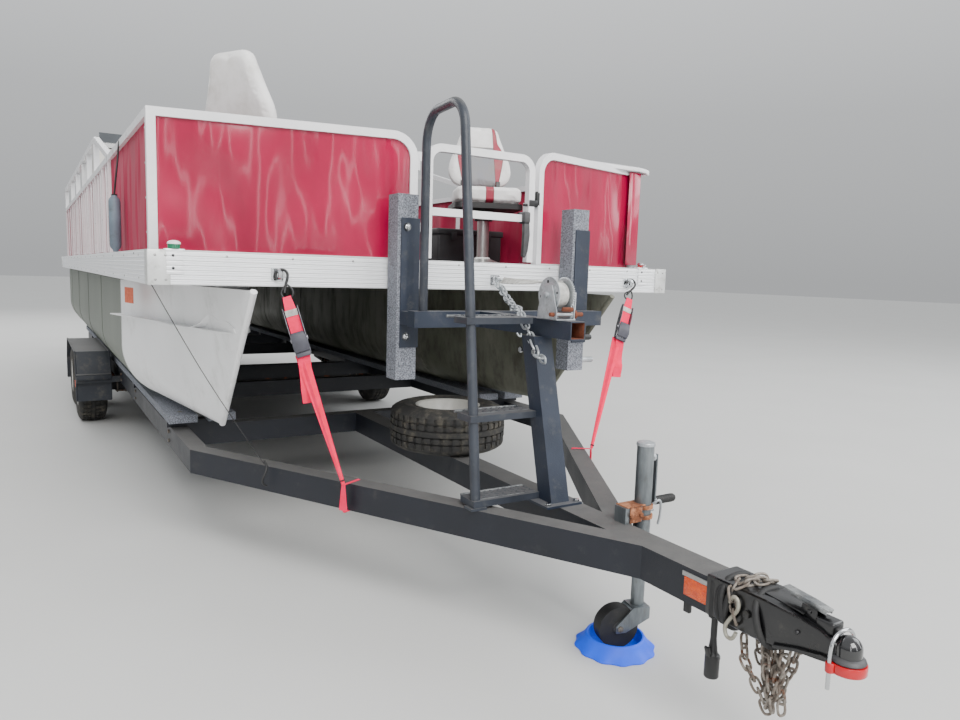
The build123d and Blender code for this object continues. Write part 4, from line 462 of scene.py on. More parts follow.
    WORN = Finish(srgb(150, 152, 152), srgb(82, 86, 90), 26.0, srgb(70, 66, 60), 0.4, rough=0.45, metal=0.5)
    GREY_WEBBING = Finish(srgb(206, 205, 200), srgb(158, 157, 152), 30.0, srgb(104, 98, 88), 0.36,
                          rough=0.85, grain=900, depth=0.0008)
    RED_LENS = Finish(srgb(170, 20, 22), srgb(150, 14, 18), 30.0, rough=0.15, coat=0.8)
    SMOKE = Finish(srgb(70, 74, 78), rough=0.08, uneven=0.02, coat=0.8)
    CASE = Finish(srgb(36, 37, 39), srgb(48, 49, 51), 10.0, dirty=0.3, rough=0.55, grain=600, depth=0.0003)

    def material(self) -> bpy.types.Material:
        """Return the finish's material, made once."""
        name = self.name.lower()
        return bpy.data.materials.get(name) or self.value.build(name)


class Form:
    """A mesh being shaped in the frame's own metres."""

    def __init__(self) -> None:
        """Start empty."""
        self.bm = bmesh.new()

    def soften(self, edges: list, width: float, segments: int) -> None:
        """Round these edges."""
        bmesh.ops.bevel(self.bm, geom=edges, offset=width, segments=segments, profile=0.5, affect="EDGES",
                        material=-1, clamp_overlap=True)

    def _bevel(self, verts: list, width: float, segments: int) -> None:
        """Round the sharp edges between these corners."""
        edges = [e for e in {e for v in verts for e in v.link_edges} if len(e.link_faces) == 2
                 and e.calc_face_angle(0) > math.radians(30)]
        self.soften(edges, width, segments)

    def box(self, centre: Vector, size: Point, turn: Matrix | None = None, bevel: float = 0.0,
            segments: int = 2) -> "Form":
        """Add a block.

        Args:
            centre: its middle.
            size: its three sides.
            turn: how it is turned about its middle.
            bevel: the radius of its edges.
            segments: the steps of each edge.

        Returns:
            The form itself.
        """
        place = Matrix.Translation(centre) @ (turn or Matrix.Identity(4)) @ Matrix.Diagonal((*size, 1))
        verts = bmesh.ops.create_cube(self.bm, size=1.0, matrix=place)["verts"]
        if bevel:
            self._bevel(verts, bevel, segments)
        return self

    def rod(self, start: Vector, end: Vector, radius: float, sides: int = 20, bevel: float = 0.0) -> "Form":
        """Add a round bar between two points."""
        along = end - start
        verts = bmesh.ops.create_cone(self.bm, cap_ends=True, segments=sides, radius1=radius, radius2=radius,
                                      depth=along.length, matrix=aimed((start + end) / 2, along))["verts"]
        if bevel:
            self._bevel(verts, bevel, 2)
        return self

    def ball(self, centre: Vector, radius: float, scale: Point = (1, 1, 1)) -> "Form":
        """Add a ball, flattened by the scale."""
        place = Matrix.Translation(centre) @ Matrix.Diagonal((*scale, 1))
        bmesh.ops.create_uvsphere(self.bm, u_segments=20, v_segments=12, radius=radius, matrix=place)
        return self

    def lathe(self, profile: list[tuple[float, float]], centre: Vector, axis: Vector,
              steps: int = 48) -> "Form":
        """Turn a profile about an axis.

        Args:
            profile: closed outline of (radius, height along the axis).
            centre: the point at height 0.
            axis: the axis' direction.
            steps: how many steps make the full turn.

        Returns:
            The form itself.
        """
        place = aimed(centre, axis)
        verts = [self.bm.verts.new(place @ Vector((r, 0, h))) for r, h in profile]
        edges = [self.bm.edges.new((a, b)) for a, b in zip(verts, verts[1:] + verts[:1])]
        bmesh.ops.spin(self.bm, geom=verts + edges, cent=centre, axis=axis, angle=2 * math.pi, steps=steps,
                       use_merge=True)
        bmesh.ops.remove_doubles(self.bm, verts=self.bm.verts, dist=1e-6)
        bmesh.ops.recalc_face_normals(self.bm, faces=self.bm.faces)
        return self

    def ring(self, centre: Vector, axis: Vector, radius: float, thick: float, steps: int = 32,
             sides: int = 10) -> "Form":
        """Add a round ring of round bar."""
        outline = [(radius + thick * math.cos(a), thick * math.sin(a)) for a in angles(sides)]
        return self.lathe(outline, centre, axis, steps)

    def prism(self, outline: list[Vector], depth: Vector, bevel: float = 0.0, segments: int = 2) -> "Form":
        """Add a flat outline pushed out along a vector."""
        face = self.bm.faces.new([self.bm.verts.new(p) for p in outline])
        pushed = bmesh.ops.extrude_face_region(self.bm, geom=[face])["geom"]
        verts = [g for g in pushed if isinstance(g, bmesh.types.BMVert)]
        bmesh.ops.translate(self.bm, vec=depth, verts=verts)
        bmesh.ops.recalc_face_normals(self.bm, faces=self.bm.faces)
        if bevel:
            self._bevel(verts + list(face.verts), bevel, segments)
        return self

    def bar(self, sections: list[tuple[Vector, Vector, Vector]], bevel: float = 0.0,
            segments: int = 2) -> "Form":
        """Add a four-sided bar by extruding its end from section to section.

        Args:
            sections: each section's middle, its half width and its half height.
            bevel: the radius of its edges.
            segments: the steps of each edge.

        Returns:
            The form itself.
        """
        def corners(section: tuple[Vector, Vector, Vector]) -> list[Vector]:
            """Return a section's four corners in order."""
            middle, side, rise = section
            return [middle - side - rise, middle + side - rise, middle + side + rise, middle - side + rise]

        face = self.bm.faces.new([self.bm.verts.new(p) for p in corners(sections[0])])
        made = list(face.verts)
        for section in sections[1:]:
            pushed = bmesh.ops.extrude_face_region(self.bm, geom=[face])["geom"]
            face = next(g for g in pushed if isinstance(g, bmesh.types.BMFace))
            for vertex, place in zip(face.verts, corners(section)):
                vertex.co = place
            made += list(face.verts)
        bmesh.ops.recalc_face_normals(self.bm, faces=list({f for v in made for f in v.link_faces}))
        if bevel:
            self._bevel(made, bevel, segments)
        return self

    def hose(self, points: list[Vector], radius: float, closed: bool = False, sides: int = 3) -> "Form":
        """Add a smooth tube along the points."""
        curve = bpy.data.curves.new("route", "CURVE")
        curve.dimensions, curve.bevel_depth, curve.bevel_resolution = "3D", radius, sides
        curve.use_fill_caps, curve.resolution_u = not closed, 6
        spline = curve.splines.new("NURBS")
        spline.points.add(len(points) - 1)
        for point, place in zip(spline.points, points):
            point.co = (*place, 1.0)
        spline.use_cyclic_u, spline.use_endpoint_u, spline.order_u = closed, not closed, 3
        holder = shown("route", curve)
        mesh = bpy.data.meshes.new_from_object(holder.evaluated_get(bpy.context.evaluated_depsgraph_get()))
        bpy.data.objects.remove(holder)
        bpy.data.curves.remove(curve)
        self.bm.from_mesh(mesh)
        bpy.data.meshes.remove(mesh)
        return self

    def mesh(self, name: str) -> bpy.types.Mesh:
        """Return the form as a mesh, and let the form go."""
        made = bpy.data.meshes.new(name)
        self.bm.to_mesh(made)
        self.bm.free()
        return made

    def piece(self, name: str, paint: Paint, body: str = BASE, angle: float = 40.0,
              stands_for: tuple[str, ...] = ()) -> bpy.types.Object:
        """Close the form as a finished piece.

        Args:
            name: the piece's name.
            paint: its finish.
            body: the body it rides on.
            angle: edges sharper than this stay sharp.
            stands_for: the CAD nodes that it replaces.

        Returns:
            The piece.
        """
        bmesh.ops.recalc_face_normals(self.bm, faces=self.bm.faces)
        mesh = self.mesh(name)
        mesh.materials.append(paint.material())
        for polygon in mesh.polygons:
            polygon.use_smooth = True
        mesh.set_sharp_from_angle(angle=math.radians(angle))
        made = shown(name, mesh)
        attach(made, body)
        if stands_for:
            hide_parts(*stands_for)
        log.info("%s: %d faces", name, len(mesh.polygons))
        return made


def dress(frame: dict, paint: Paint, *nodes: str) -> None:
    """Give the CAD nodes a finish."""
    for node in nodes:
        for holder in frame["nodes"][node].material_slots:
            holder.material = paint.material()


@dataclass(frozen=True)
class Upholstery:
    """White vinyl sewn from panels, laid out in each pad's own axes."""

    white: Colour = srgb(238, 237, 236)
    red: Colour = srgb(158, 22, 58)
    grey: Colour = srgb(136, 138, 144)

    def build(self, name: str, seat: bool) -> bpy.types.Material:
        """Make the vinyl of a seat or of a back.

        Args:
            name: the material's name.
            seat: True for a seat's one stripe, False for a back's panels.

        Returns:
            The material.
        """
        graph = Graph(name)
        pad = graph.node("ShaderNodeAttribute", {"attribute_name": "pad"}, {}, "Vector")
        across, along, out = (graph.node("ShaderNodeSeparateXYZ", {}, {0: pad}, axis) for axis in "XYZ")
        aside = abs(across)
        stains = graph.speckle(7, 6, None, 0.65).above(0.58, 0.2)
        if seat:
            stripe = 1 - aside.above(0.024, 0.0008)
            seam = stripe * aside.above(0.0215, 0.0008) * 0.8
            ribs = 0.0 * aside
            middle = 0.0 * aside
        else:
            height = along * (1 / 0.41)
            bow = height * (1 - height) * 4
            low_bow = height.above(0.31, 0.31) * (1 - height.above(0.62, 0.10)) * 0.034
            inner = 0.096 - height * 0.026
            outer = inner + 0.014 + bow * 0.016 + low_bow
            face = out.above(0.045, 0.004)
            stripe = (aside - inner).above(0, 0.0008) * (1 - (aside - outer).above(0, 0.0008)) * face
            inside = (1 - (aside - inner).above(0, 0.0008)) * face
            middle = inside * (1 - height.above(0.62, 0.002))
            ribs = across.folded(0.0035) * 285.0 * middle
            ends = height.above(0.612, 0.003) * (1 - height.above(0.628, 0.003)) * inside
            edge = abs(aside - inner)
            rim = abs(aside - outer)
            seam = (1 - edge.above(0.0016, 0.001)) * face + (1 - rim.above(0.0016, 0.001)) * face + ends
        colour = graph.mix(stripe, self.white, self.red)
        colour = graph.mix(middle, colour, self.grey)
        colour = graph.mix(seam * 0.55, colour, srgb(96, 88, 84))
        colour = graph.mix(stains * 0.4, colour, srgb(150, 142, 124))
        grain = graph.cells(720)
        normal = graph.bump(grain, 0.0004, 0.5)
        normal = graph.bump(ribs - seam * 2.0, 0.0012, 0.9, normal)
        rough = 0.42 + graph.speckle(12, 3) * 0.16
        return graph.finish(Base_Color=colour, Roughness=rough, Normal=normal)


def settle(obj: bpy.types.Object) -> None:
    """Apply every modifier of an object to its mesh."""
    graph = bpy.context.evaluated_depsgraph_get()
    mesh = bpy.data.meshes.new_from_object(obj.evaluated_get(graph))
    obj.modifiers.clear()
    old, obj.data = obj.data, mesh
    bpy.data.meshes.remove(old)


def plump(obj: bpy.types.Object, voxel: float, cap: float, pressure: float = 4.0) -> None:
    """Stuff a closed form with a short cloth simulation.

    Args:
        obj: the form, a little smaller than the pad.
        voxel: the mesh size that it is simulated at.
        cap: how far any point may move.
        pressure: the stuffing's pressure.
    """
    remesh = obj.modifiers.new("mesh", "REMESH")
    remesh.mode, remesh.voxel_size = "VOXEL", voxel
    settle(obj)
    start = [v.co.copy() for v in obj.data.vertices]
    cloth = obj.modifiers.new("stuffing", "CLOTH")
    cloth.settings.use_pressure = True
    cloth.settings.uniform_pressure_force = pressure
    cloth.settings.effector_weights.gravity = 0
    cloth.settings.quality = 4
    scene = bpy.context.scene
    for frame_number in range(1, 21):
        scene.frame_set(frame_number)
    graph = bpy.context.evaluated_depsgraph_get()
    moved = [v.co.copy() for v in obj.evaluated_get(graph).data.vertices]
    obj.modifiers.clear()
    scene.frame_set(1)
    for vertex, old, new in zip(obj.data.vertices, start, moved):
        step = new - old
        vertex.co = old + step * min(1.0, cap / max(step.length, 1e-9))
    smooth = obj.modifiers.new("smooth", "SUBSURF")
    smooth.levels = smooth.render_levels = 1
    settle(obj)


@dataclass
class Pad:
    """A sewn pad in its own axes: x across, y along, z through it."""

    width: float
    length: float
    thick: float
    top_width: float
    foot_width: float
    knee: float = 0.35          # share of the length where the sides start to close in
    heel: float = 0.16          # share of the length where the sides are at their widest
    corner: float = 0.045
    shrink: float = 0.012
    voxel: float = 0.006
    cap: float = 0.012
    channels: tuple[float, ...] = ()    # where a seam runs across it
    seam_width: float = 0.009
    seam_depth: float = 0.006

    def outline(self, inset: float) -> list[tuple[float, float]]:
        """Return the pad's corners, this far inside its edge."""
        wide, narrow, end = self.width / 2 - inset, self.top_width / 2 - inset, self.length - inset
        foot, heel, knee = self.foot_width / 2 - inset, self.length * self.heel, self.length * self.knee
        half = [(foot, inset), (wide, heel), (wide, knee), (narrow, end)]
        return half + [(-x, y) for x, y in reversed(half)]

    def shape(self, name: str) -> bpy.types.Mesh:
        """Stuff the pad and sew its channels.

        Args:
            name: the mesh's name.

        Returns:
            The pad's mesh, with its own axes kept in the attribute "pad".
        """
        form = Form()
        inset = self.shrink
        bottom = [Vector((x, y, inset)) for x, y in self.outline(inset)]
        form.prism(bottom, Vector((0, 0, self.thick - 2 * inset)))
        upright = [e for e in form.bm.edges if abs(e.verts[0].co.z - e.verts[1].co.z) > inset]
        form.soften(upright, self.corner, 5)
        rims = [e for e in form.bm.edges if e.calc_face_angle(0) > math.radians(50)]
        form.soften(rims, min(0.02, self.thick * 0.25), 3)
        bmesh.ops.recalc_face_normals(form.bm, faces=form.bm.faces)
        holder = shown(name, form.mesh(name))
        plump(holder, self.voxel, self.cap)
        made = holder.data.copy()
        made.name = name
        bpy.data.objects.remove(holder)
        for vertex in made.vertices:
            for level in self.channels:
                gap = (vertex.co.y - level) / self.seam_width
                if abs(gap) < 3:
                    depth = self.seam_depth * math.exp(-gap * gap)
                    vertex.co.z += math.copysign(depth, self.thick / 2 - vertex.co.z)
            vertex.co.x = max(-self.width / 2, min(self.width / 2, vertex.co.x))
            vertex.co.y = max(0.0, min(self.length, vertex.co.y))
            vertex.co.z = max(0.0, min(self.thick, vertex.co.z))
        own = made.attributes.new("pad", "FLOAT_VECTOR", "POINT")
        for vertex, item in zip(made.vertices, own.data):
            item.vector = vertex.co
        return made

    def place(self, mesh: bpy.types.Mesh, name: str, turn: Matrix, material: bpy.types.Material, slot: str,
              body: str, node: str | None) -> bpy.types.Object:
        """Put a copy of the shaped pad where it belongs.

        Args:
            mesh: what shape() made.
            name: the piece's name.
            turn: from the pad's axes to the frame.
            material: its vinyl.
            slot: not used.
            body: the body it rides on.
            node: the CAD node it stands for, if any.

        Returns:
            The pad.
        """
        copy = mesh.copy()
        copy.transform(turn)
        copy.materials.clear()
        copy.materials.append(material)
        for polygon in copy.polygons:
            polygon.use_smooth = True
        made = shown(name, copy)
        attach(made, body)
        if node:
            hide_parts(node)
        return made


@dataclass
class Hull:
    """Two pontoons with weld beads, a bent spray fin and a bare sticker."""

    offset: float = 0.867
    radius: float = 0.290
    centre: float = 0.792
    top: float = 1.135
    fin: float = 0.955
    seams: tuple[float, ...] = (NOSE_END, 2.72, 3.94, 5.16, 6.38)
    proud: float = 0.0025

    def bead(self, form: Form, x: float, y: float) -> None:
        """Add a weld bead round one pontoon's U section."""
        reach = self.radius + self.proud
        arc = [at(x - reach * math.cos(a), y, self.centre - reach * math.sin(a))
               for a in (math.pi * i / 32 for i in range(33))]
        outline = [at(x - reach, y, self.top), *arc, at(x + reach, y, self.top)]
        form.prism(outline, Vector((0, 0.009, 0)))

    def bent_fin(self) -> None:
        """Add the starboard fin's lip, folded up where it was struck near the stem."""
        form = Form()
        fore, aft, wide = 0.19, 0.86, 0.062
        bmesh.ops.create_grid(form.bm, x_segments=6, y_segments=56, size=0.5)
        for vertex in form.bm.verts:
            out, y = vertex.co.x + 0.5, fore + (aft - fore) * (vertex.co.y + 0.5)
            struck = min(1.0, max(0.0, (0.57 - y) / 0.16))
            eased = struck * struck * (3 - 2 * struck)
            fade = min(1.0, max(0.0, (y - fore) / 0.12))
            lift = out * out * eased * (0.052 + 0.010 * math.sin(34 * y)) * (0.35 + 0.65 * fade)
            root = -self.offset - 0.067 - max(0.0, y - 0.311) * 0.23 + wide - 0.006
            spread = wide * (1 - 0.45 * eased) * (0.4 + 0.6 * fade)
            vertex.co = at(root - out * spread, y, self.fin + 0.007 - 0.004 * out * (1 - eased) + lift)
        bmesh.ops.recalc_face_normals(form.bm, faces=form.bm.faces)
        bmesh.ops.solidify(form.bm, geom=form.bm.faces, thickness=0.004)
        form.piece("bent_spray_fin", Paint.PONTOON)

    def build(self, frame: dict) -> None:
        """Dress the pontoons and add what is welded and stuck on them."""
        dress(frame, Paint.PONTOON, "pontoon_starboard")
        # Painted shade: the port pontoon, with its beads and stem bar, takes the shaded aluminium.
        dress(frame, Paint.OLIVE, "pontoon_port")
        for name, x, paint in (("starboard", -self.offset, Paint.PONTOON),
                               ("port", self.offset, Paint.OLIVE)):
            form = Form()
            for y in self.seams:
                self.bead(form, x, y)
            form.piece(f"weld_beads_{name}", paint)
            stem = Form()
            stem.rod(at(x, -0.004, self.top - 0.004), at(x, 0.532, 0.536), 0.0135, sides=16)
            stem.piece(f"stem_bar_{name}", paint)
        self.bent_fin()
        sticker = Form()
        sticker.box(at(-1.1585, 1.16, 1.068), (0.002, 0.12, 0.075), turned(11.5, "Z"))
        sticker.piece("blank_sticker", Paint.STICKER)


@dataclass
class Deck:
    """The deck's board, beams, eyes and fluted trim, with the trim's caps and screws."""

    half: float = 1.220
    length: float = 7.156

    def build(self, frame: dict) -> None:
        """Dress the deck, cap its corners and put in the trim's screws."""
        dress(frame, Paint.CROSSBEAM, "deck_crossbeams")
        dress(frame, Paint.CARPET, "deck_board")
        dress(frame, Paint.TRIM, "deck_trim")
        dress(frame, Paint.CHROME, "deck_eyes")
        caps = Form()
        for x in (-self.half, self.half):
            for y in (0.0, self.length):
                side = math.copysign(1, x)
                end = -1 if y == 0 else 1
                middle = (TRIM_LOW + TRIM_HIGH) / 2
                caps.box(at(x - side * 0.034, y + end * 0.0015, middle), (0.072, 0.004, 0.121), bevel=0.0012)
                caps.box(at(x + side * 0.0015, y - end * 0.034, middle), (0.004, 0.072, 0.121), bevel=0.0012)
        caps.piece("corner_caps", Paint.CAP)
        heads = Form()
        rows = (TRIM_LOW + 0.018, TRIM_HIGH - 0.018)
        ahead, aside = (1.0, 0.5, 1.0), (0.5, 1.0, 1.0)
        spots = [(at(x, -0.004, z), ahead) for x in (-1.199, -1.165, 1.165, 1.199) for z in rows]
        spots += [(at(x, 0.25 + i * 0.475, z), aside) for i in range(15) for x in (-self.half, self.half)
                  for z in rows]
        spots += [(at(-0.96 + i * 0.24, 0.0, TRIM_HIGH - 0.016), ahead) for i in range(9)]
        for spot, dome in spots:
            heads.ball(spot, 0.0045, dome)
        heads.piece("trim_screws", Paint.SATIN)


@dataclass
class Fences:
    """Fence frames with red sheet, and the two gates."""

    top: float = 1.785
    corner: float = 1.190
    posts: tuple[float, ...] = (1.680, 2.050, 2.560, 3.180, 3.720, 4.500, 5.300)

    def rivets(self) -> None:
        """Add the rivets that hold the sheets along the posts."""
        form = Form()
        for hand in (-1, 1):
            for y in (0.235, *self.posts, 6.45):
                for i in range(4):
                    z = BOARD_TOP + 0.07 + i * 0.125
                    form.ball(at(hand * self.corner, y + 0.016, z), 0.0042, (0.5, 1, 1))
        form.piece("fence_rivets", Paint.SATIN)

    def stiles(self) -> None:
        """Add the pale upright battens on the side sheets."""
        edges = (0.213, *self.posts, 6.448)
        for name, hand in (("starboard", -1), ("port", 1)):
            form = Form()
            for fore, aft in zip(edges[1:], edges[2:]):
                count = 3 if aft - fore > 0.45 else 2
                for k in range(1, count):
                    y = fore + 0.032 + (aft - fore - 0.032) * k / count
                    x = hand * (self.corner - 0.010)
                    form.box(at(x, y, (BOARD_TOP + self.top) / 2 - 0.012), (0.010, 0.030, 0.470),
                             bevel=0.0015)
            form.piece(f"fence_battens_{name}", Paint.RAIL)

    def gates(self) -> None:
        """Add the bow gate's black latch and its clamp lever."""
        latch = Form()
        rail = 0.040
        latch.box(at(0.396, rail, 1.545), (0.050, 0.030, 0.030), bevel=0.004)
        latch.box(at(0.424, rail, 1.566), (0.022, 0.024, 0.070), bevel=0.008, segments=3)
        latch.rod(at(0.350, rail, 1.536), at(0.424, rail, 1.536), 0.006, bevel=0.001)
        latch.piece("bow_gate_latch", Paint.BLACK, body="bow_gate")
        lever = Form()
        lever.box(at(0.352, 0.030, 1.478), (0.034, 0.050, 0.052), bevel=0.008, segments=3)
        lever.prism(path((0.340, 0.012, 1.462), (0.368, 0.012, 1.462), (0.372, 0.010, 1.400),
                         (0.362, 0.008, 1.330), (0.350, 0.008, 1.298), (0.336, 0.008, 1.306),
                         (0.340, 0.010, 1.400)), Vector((0, 0.022, 0)), bevel=0.004)
        lever.piece("gate_clamp_lever", Paint.WHEEL_GREY, body="bow_gate")

    def port_corner(self) -> None:
        """Add the red sheet that is folded round the port corner and the cap that hangs over it."""
        middle, tall, thick = 1.529, 0.478, 0.0015
        sheet = Form()
        sheet.box(at(1.150, 0.1835, middle), (0.076, thick, tall), bevel=0.0005)
        sheet.box(at(1.1885, 0.225, middle), (thick, 0.084, tall), bevel=0.0005)
        sheet.piece("port_corner_sheet", Paint.PANEL)
        cap = Form()
        cap.bar([(at(x, 0.194, self.top - drop), Vector((0, 0.030, 0)), Vector((0, 0, 0.013)))
                 for x, drop in ((0.66, 0.002), (1.16, 0.002), (1.206, 0.006), (1.232, 0.016))],
                bevel=0.006, segments=3)
        cap.piece("port_rail_cap", Paint.RAIL)

    def case(self) -> None:
        """Add the dark case that stands on the deck behind the bow gate."""
        shell = Form()
        middle = at(0.900, 1.545, BOARD_TOP)
        shell.box(middle + Vector((0, 0, 0.110)), (0.480, 0.240, 0.204), bevel=0.014, segments=3)
        shell.box(middle + Vector((0, 0, 0.214)), (0.500, 0.256, 0.040), bevel=0.010, segments=3)
        for dx in (-0.13, 0.13):
            shell.box(middle + Vector((dx, -0.127, 0.188)), (0.042, 0.010, 0.050), bevel=0.003)
        shell.piece("deck_case", Paint.CASE)
        foot = Form()
        foot.box(middle + Vector((0, 0, 0.0075)), (0.490, 0.250, 0.016), bevel=0.003)
        foot.piece("deck_case_foot", Paint.WHEEL_GREY)

    def build(self, frame: dict) -> None:
        """Dress the fences and add their small parts, and the case that stands inside them."""
        dress(frame, Paint.RAIL, "fence_frame_starboard", "fence_frame_port", "bow_gate", "stern_gate")
        dress(frame, Paint.PANEL, "fence_panels_starboard", "fence_panels_port")
        self.rivets()
        self.stiles()
        self.gates()
        self.port_corner()
        self.case()


@dataclass
class Chairs:
    """Three swivel chairs: pedestals, frames, sewn pads and folding backs."""

    places: tuple = (("starboard", -0.590, 0.705, 120), ("port", 0.780, 1.080, -22),
                     ("helm", -0.740, 4.330, 0))
    seat_bottom: float = 1.626
    seat_top: float = 1.721
    fold_lift: float = 0.014
    fold_back: float = 0.138
    lean: float = 10.0
    hinges: tuple[float, float] = (-0.110, 0.110)

    def build(self, frame: dict) -> None:
        """Dress the frames and put the pads on."""
        dress(frame, Paint.SATIN, "chair_pedestals")
        seat = Pad(0.430, 0.420, 0.095, 0.380, 0.400, knee=0.55, corner=0.045, channels=(0.115,))
        back = Pad(0.430, 0.410, 0.075, 0.236, 0.320, knee=0.36, corner=0.040, cap=0.010, shrink=0.010)
        seat_mesh, back_mesh = seat.shape("seat_pad"), back.shape("back_pad")
        vinyl = Upholstery()
        seat_vinyl, back_vinyl = vinyl.build("seat_vinyl", True), vinyl.build("back_vinyl", False)
        for name, x, y, turn in self.places:
            dress(frame, Paint.BLACK, f"{name}_chair_frame")
            spin = turned(turn, "Z")
            body = f"{name}_chair"
            level = Matrix.Translation(at(x, y, 0)) @ spin
            seat.place(seat_mesh, f"{name}_seat_pad",
                       level @ Matrix.Translation((0, -0.225, self.seat_bottom)), seat_vinyl,
                       "chair_vinyl", body, f"{name}_chair_seat")
            upright = turned(90 - self.lean, "X")
            fold = Matrix.Translation((0, self.fold_back, self.seat_top + self.fold_lift))
            back.place(back_mesh, f"{name}_back_pad",
                       level @ fold @ upright @ Matrix.Translation((0, 0.010, -0.075)), back_vinyl,
                       "chair_vinyl", f"{body}_back", f"{name}_chair_back")
            self.hardware(name, level, level @ fold @ upright)

    def hardware(self, name: str, level: Matrix, back: Matrix) -> None:
        """Add hinges with their leaves, the swivel's lever, and the pedestal's foot with its bolts."""
        hinge = Form()
        for side in self.hinges:
            for k in range(5):
                reach = side - 0.014 + 0.007 * k
                hinge.rod(back @ Vector((reach - 0.003, 0, 0)), back @ Vector((reach + 0.003, 0, 0)),
                          0.0085, sides=14)
        hinge.piece(f"{name}_hinges", Paint.CHROME, body=f"{name}_chair")
        straps = Form()
        for side in self.hinges:
            straps.box(back @ Vector((side, 0.030, -0.002)), (0.026, 0.006, 0.052),
                       (back.to_3x3() @ Matrix.Rotation(math.radians(90), 3, "X")).to_4x4(), bevel=0.001)
        straps.piece(f"{name}_hinge_leaves", Paint.BLACK, body=f"{name}_chair_back")
        lever = Form()
        low = self.seat_bottom - 0.045
        lever.rod(level @ Vector((0.05, 0, low)), level @ Vector((0.205, -0.05, low - 0.004)), 0.006,
                  bevel=0.001)
        lever.ball(level @ Vector((0.212, -0.052, low - 0.004)), 0.017)
        lever.piece(f"{name}_swivel_lever", Paint.BLACK, body=f"{name}_chair")
        base = Form()
        foot = level @ Vector((0, 0, BOARD_TOP))
        ring = 0.118
        base.lathe([(0.060, 0.030), (0.100, 0.020), (0.147, 0.0065), (0.149, 0.0), (0.146, 0.0),
                    (0.098, 0.016), (0.052, 0.030), (0.038, 0.0425), (0.0365, 0.052), (0.044, 0.050)],
                   foot, UP, 64)
        for a in angles(6):
            base.ball(foot + Vector((ring * math.cos(a), ring * math.sin(a), 0.0165)), 0.0075, (1, 1, 0.6))
        base.piece(f"{name}_pedestal_foot", Paint.WHITE)


@dataclass
class Helm:
    """The console with its dials, screen and throttle, and the bench behind."""

    x: float = -1.130
    width: float = 0.560
    front: float = 3.150
    height: float = 0.760
    tilt: float = 30.0

    def build(self, frame: dict) -> None:
        """Dress console, wheel and bench, and fit them out."""
        dress(frame, Paint.GELCOAT, "helm_console", "bench_base")
        dress(frame, Paint.BLACK, "steering_wheel")
        top = BOARD_TOP + self.height
        x = self.x + self.width / 2
        dash = at(x, self.front + 0.4375, top - 0.1396)
        tilt = math.radians(self.tilt)
        out = Vector((0, math.cos(tilt), math.sin(tilt)))
        dials = Form()
        faces = Form()
        slope = Vector((0, -math.sin(tilt), math.cos(tilt)))
        for dx, dz, radius in ((-0.19, 0.035, 0.040), (0.19, 0.035, 0.040), (-0.20, -0.06, 0.026),
                               (0.20, -0.06, 0.026)):
            spot = dash + Vector((dx, 0, 0)) + slope * dz + out * 0.002
            dials.ring(spot, out, radius, 0.005)
            glass = radius - 0.002
            faces.lathe([(CORE, -0.002), (glass, -0.002), (glass, 0.002), (CORE, 0.002)], spot, out)
        dials.piece("dial_bezels", Paint.CHROME)
        faces.piece("dial_faces", Paint.BLACK)
        screen = Form()
        wide = self.width - 0.06
        screen.box(at(x, self.front + 0.120, top + 0.058), (wide, 0.005, 0.118), turned(-22, "X"),
                   bevel=0.002)
        screen.piece("windscreen", Paint.SMOKE)
        foot = Form()
        foot.box(at(x, self.front + 0.135, top + 0.006), (wide, 0.030, 0.012), bevel=0.003)
        foot.piece("windscreen_rail", Paint.SATIN)
        throttle = Form()
        side = at(self.x + self.width, self.front + 0.36, BOARD_TOP + 0.56)
        throttle.box(side + Vector((0.012, 0, 0)), (0.024, 0.085, 0.14), bevel=0.008, segments=3)
        throttle.rod(side + Vector((0.030, 0, 0.02)), side + Vector((0.034, -0.05, 0.17)), 0.007,
                     bevel=0.001)
        throttle.rod(side + Vector((0.014, -0.05, 0.17)), side + Vector((0.054, -0.05, 0.17)), 0.014,
                     bevel=0.004)
        throttle.piece("throttle", Paint.BLACK)
        door = Form()
        door.box(at(x, self.front + 0.4515, BOARD_TOP + 0.26), (0.36, 0.004, 0.36), bevel=0.0015)
        door.piece("console_door", Paint.WHITE)
        grip = Form()
        rim = dash + out * 0.0765
        grip.ring(rim, out, 0.175, 0.0134, 72, 14)
        grip.lathe([(CORE, 0.0), (0.028, 0.0), (0.026, 0.010), (CORE, 0.014)], dash + out * 0.083, out)
        grip.piece("steering_grip", Paint.RUBBER, body="steering")
        self.bench()

    def bench(self) -> None:
        """Add the stern bench's two cushions, and its doors with their knobs."""
        material = Paint.VINYL.material()
        seat = Pad(1.120, 0.506, 0.110, 1.120, 1.120, knee=0.5, corner=0.04, shrink=0.014, voxel=0.009,
                   cap=0.014)
        back = Pad(1.120, 0.340, 0.130, 1.120, 1.120, knee=0.5, corner=0.04, shrink=0.014, voxel=0.009,
                   cap=0.014, channels=(0.17,))
        low = BOARD_TOP + 0.300
        aft, middle = 6.443, 0.58
        flat = Matrix.Translation(at(middle, aft - 0.130 - 0.508, low))
        upright = Matrix.Translation(at(middle, aft, low)) @ turned(90, "X")
        for pad, name, turn, node in ((seat, "seat", flat, "bench_cushions"), (back, "back", upright, None)):
            pad.place(pad.shape(f"bench_{name}_pad"), f"bench_{name}_cushion", turn, material,
                      "bench_vinyl", BASE, node)
        doors = (0.31, 0.85)
        door = Form()
        for x in doors:
            door.box(at(x, 5.8005, BOARD_TOP + 0.150), (0.44, 0.006, 0.22), bevel=0.002)
        door.piece("bench_doors", Paint.WHITE)
        knobs = Form()
        z = BOARD_TOP + 0.235
        for x in doors:
            knobs.rod(at(x, 5.800, z), at(x, 5.788, z), 0.014, bevel=0.002)
        knobs.piece("bench_knobs", Paint.CHROME)


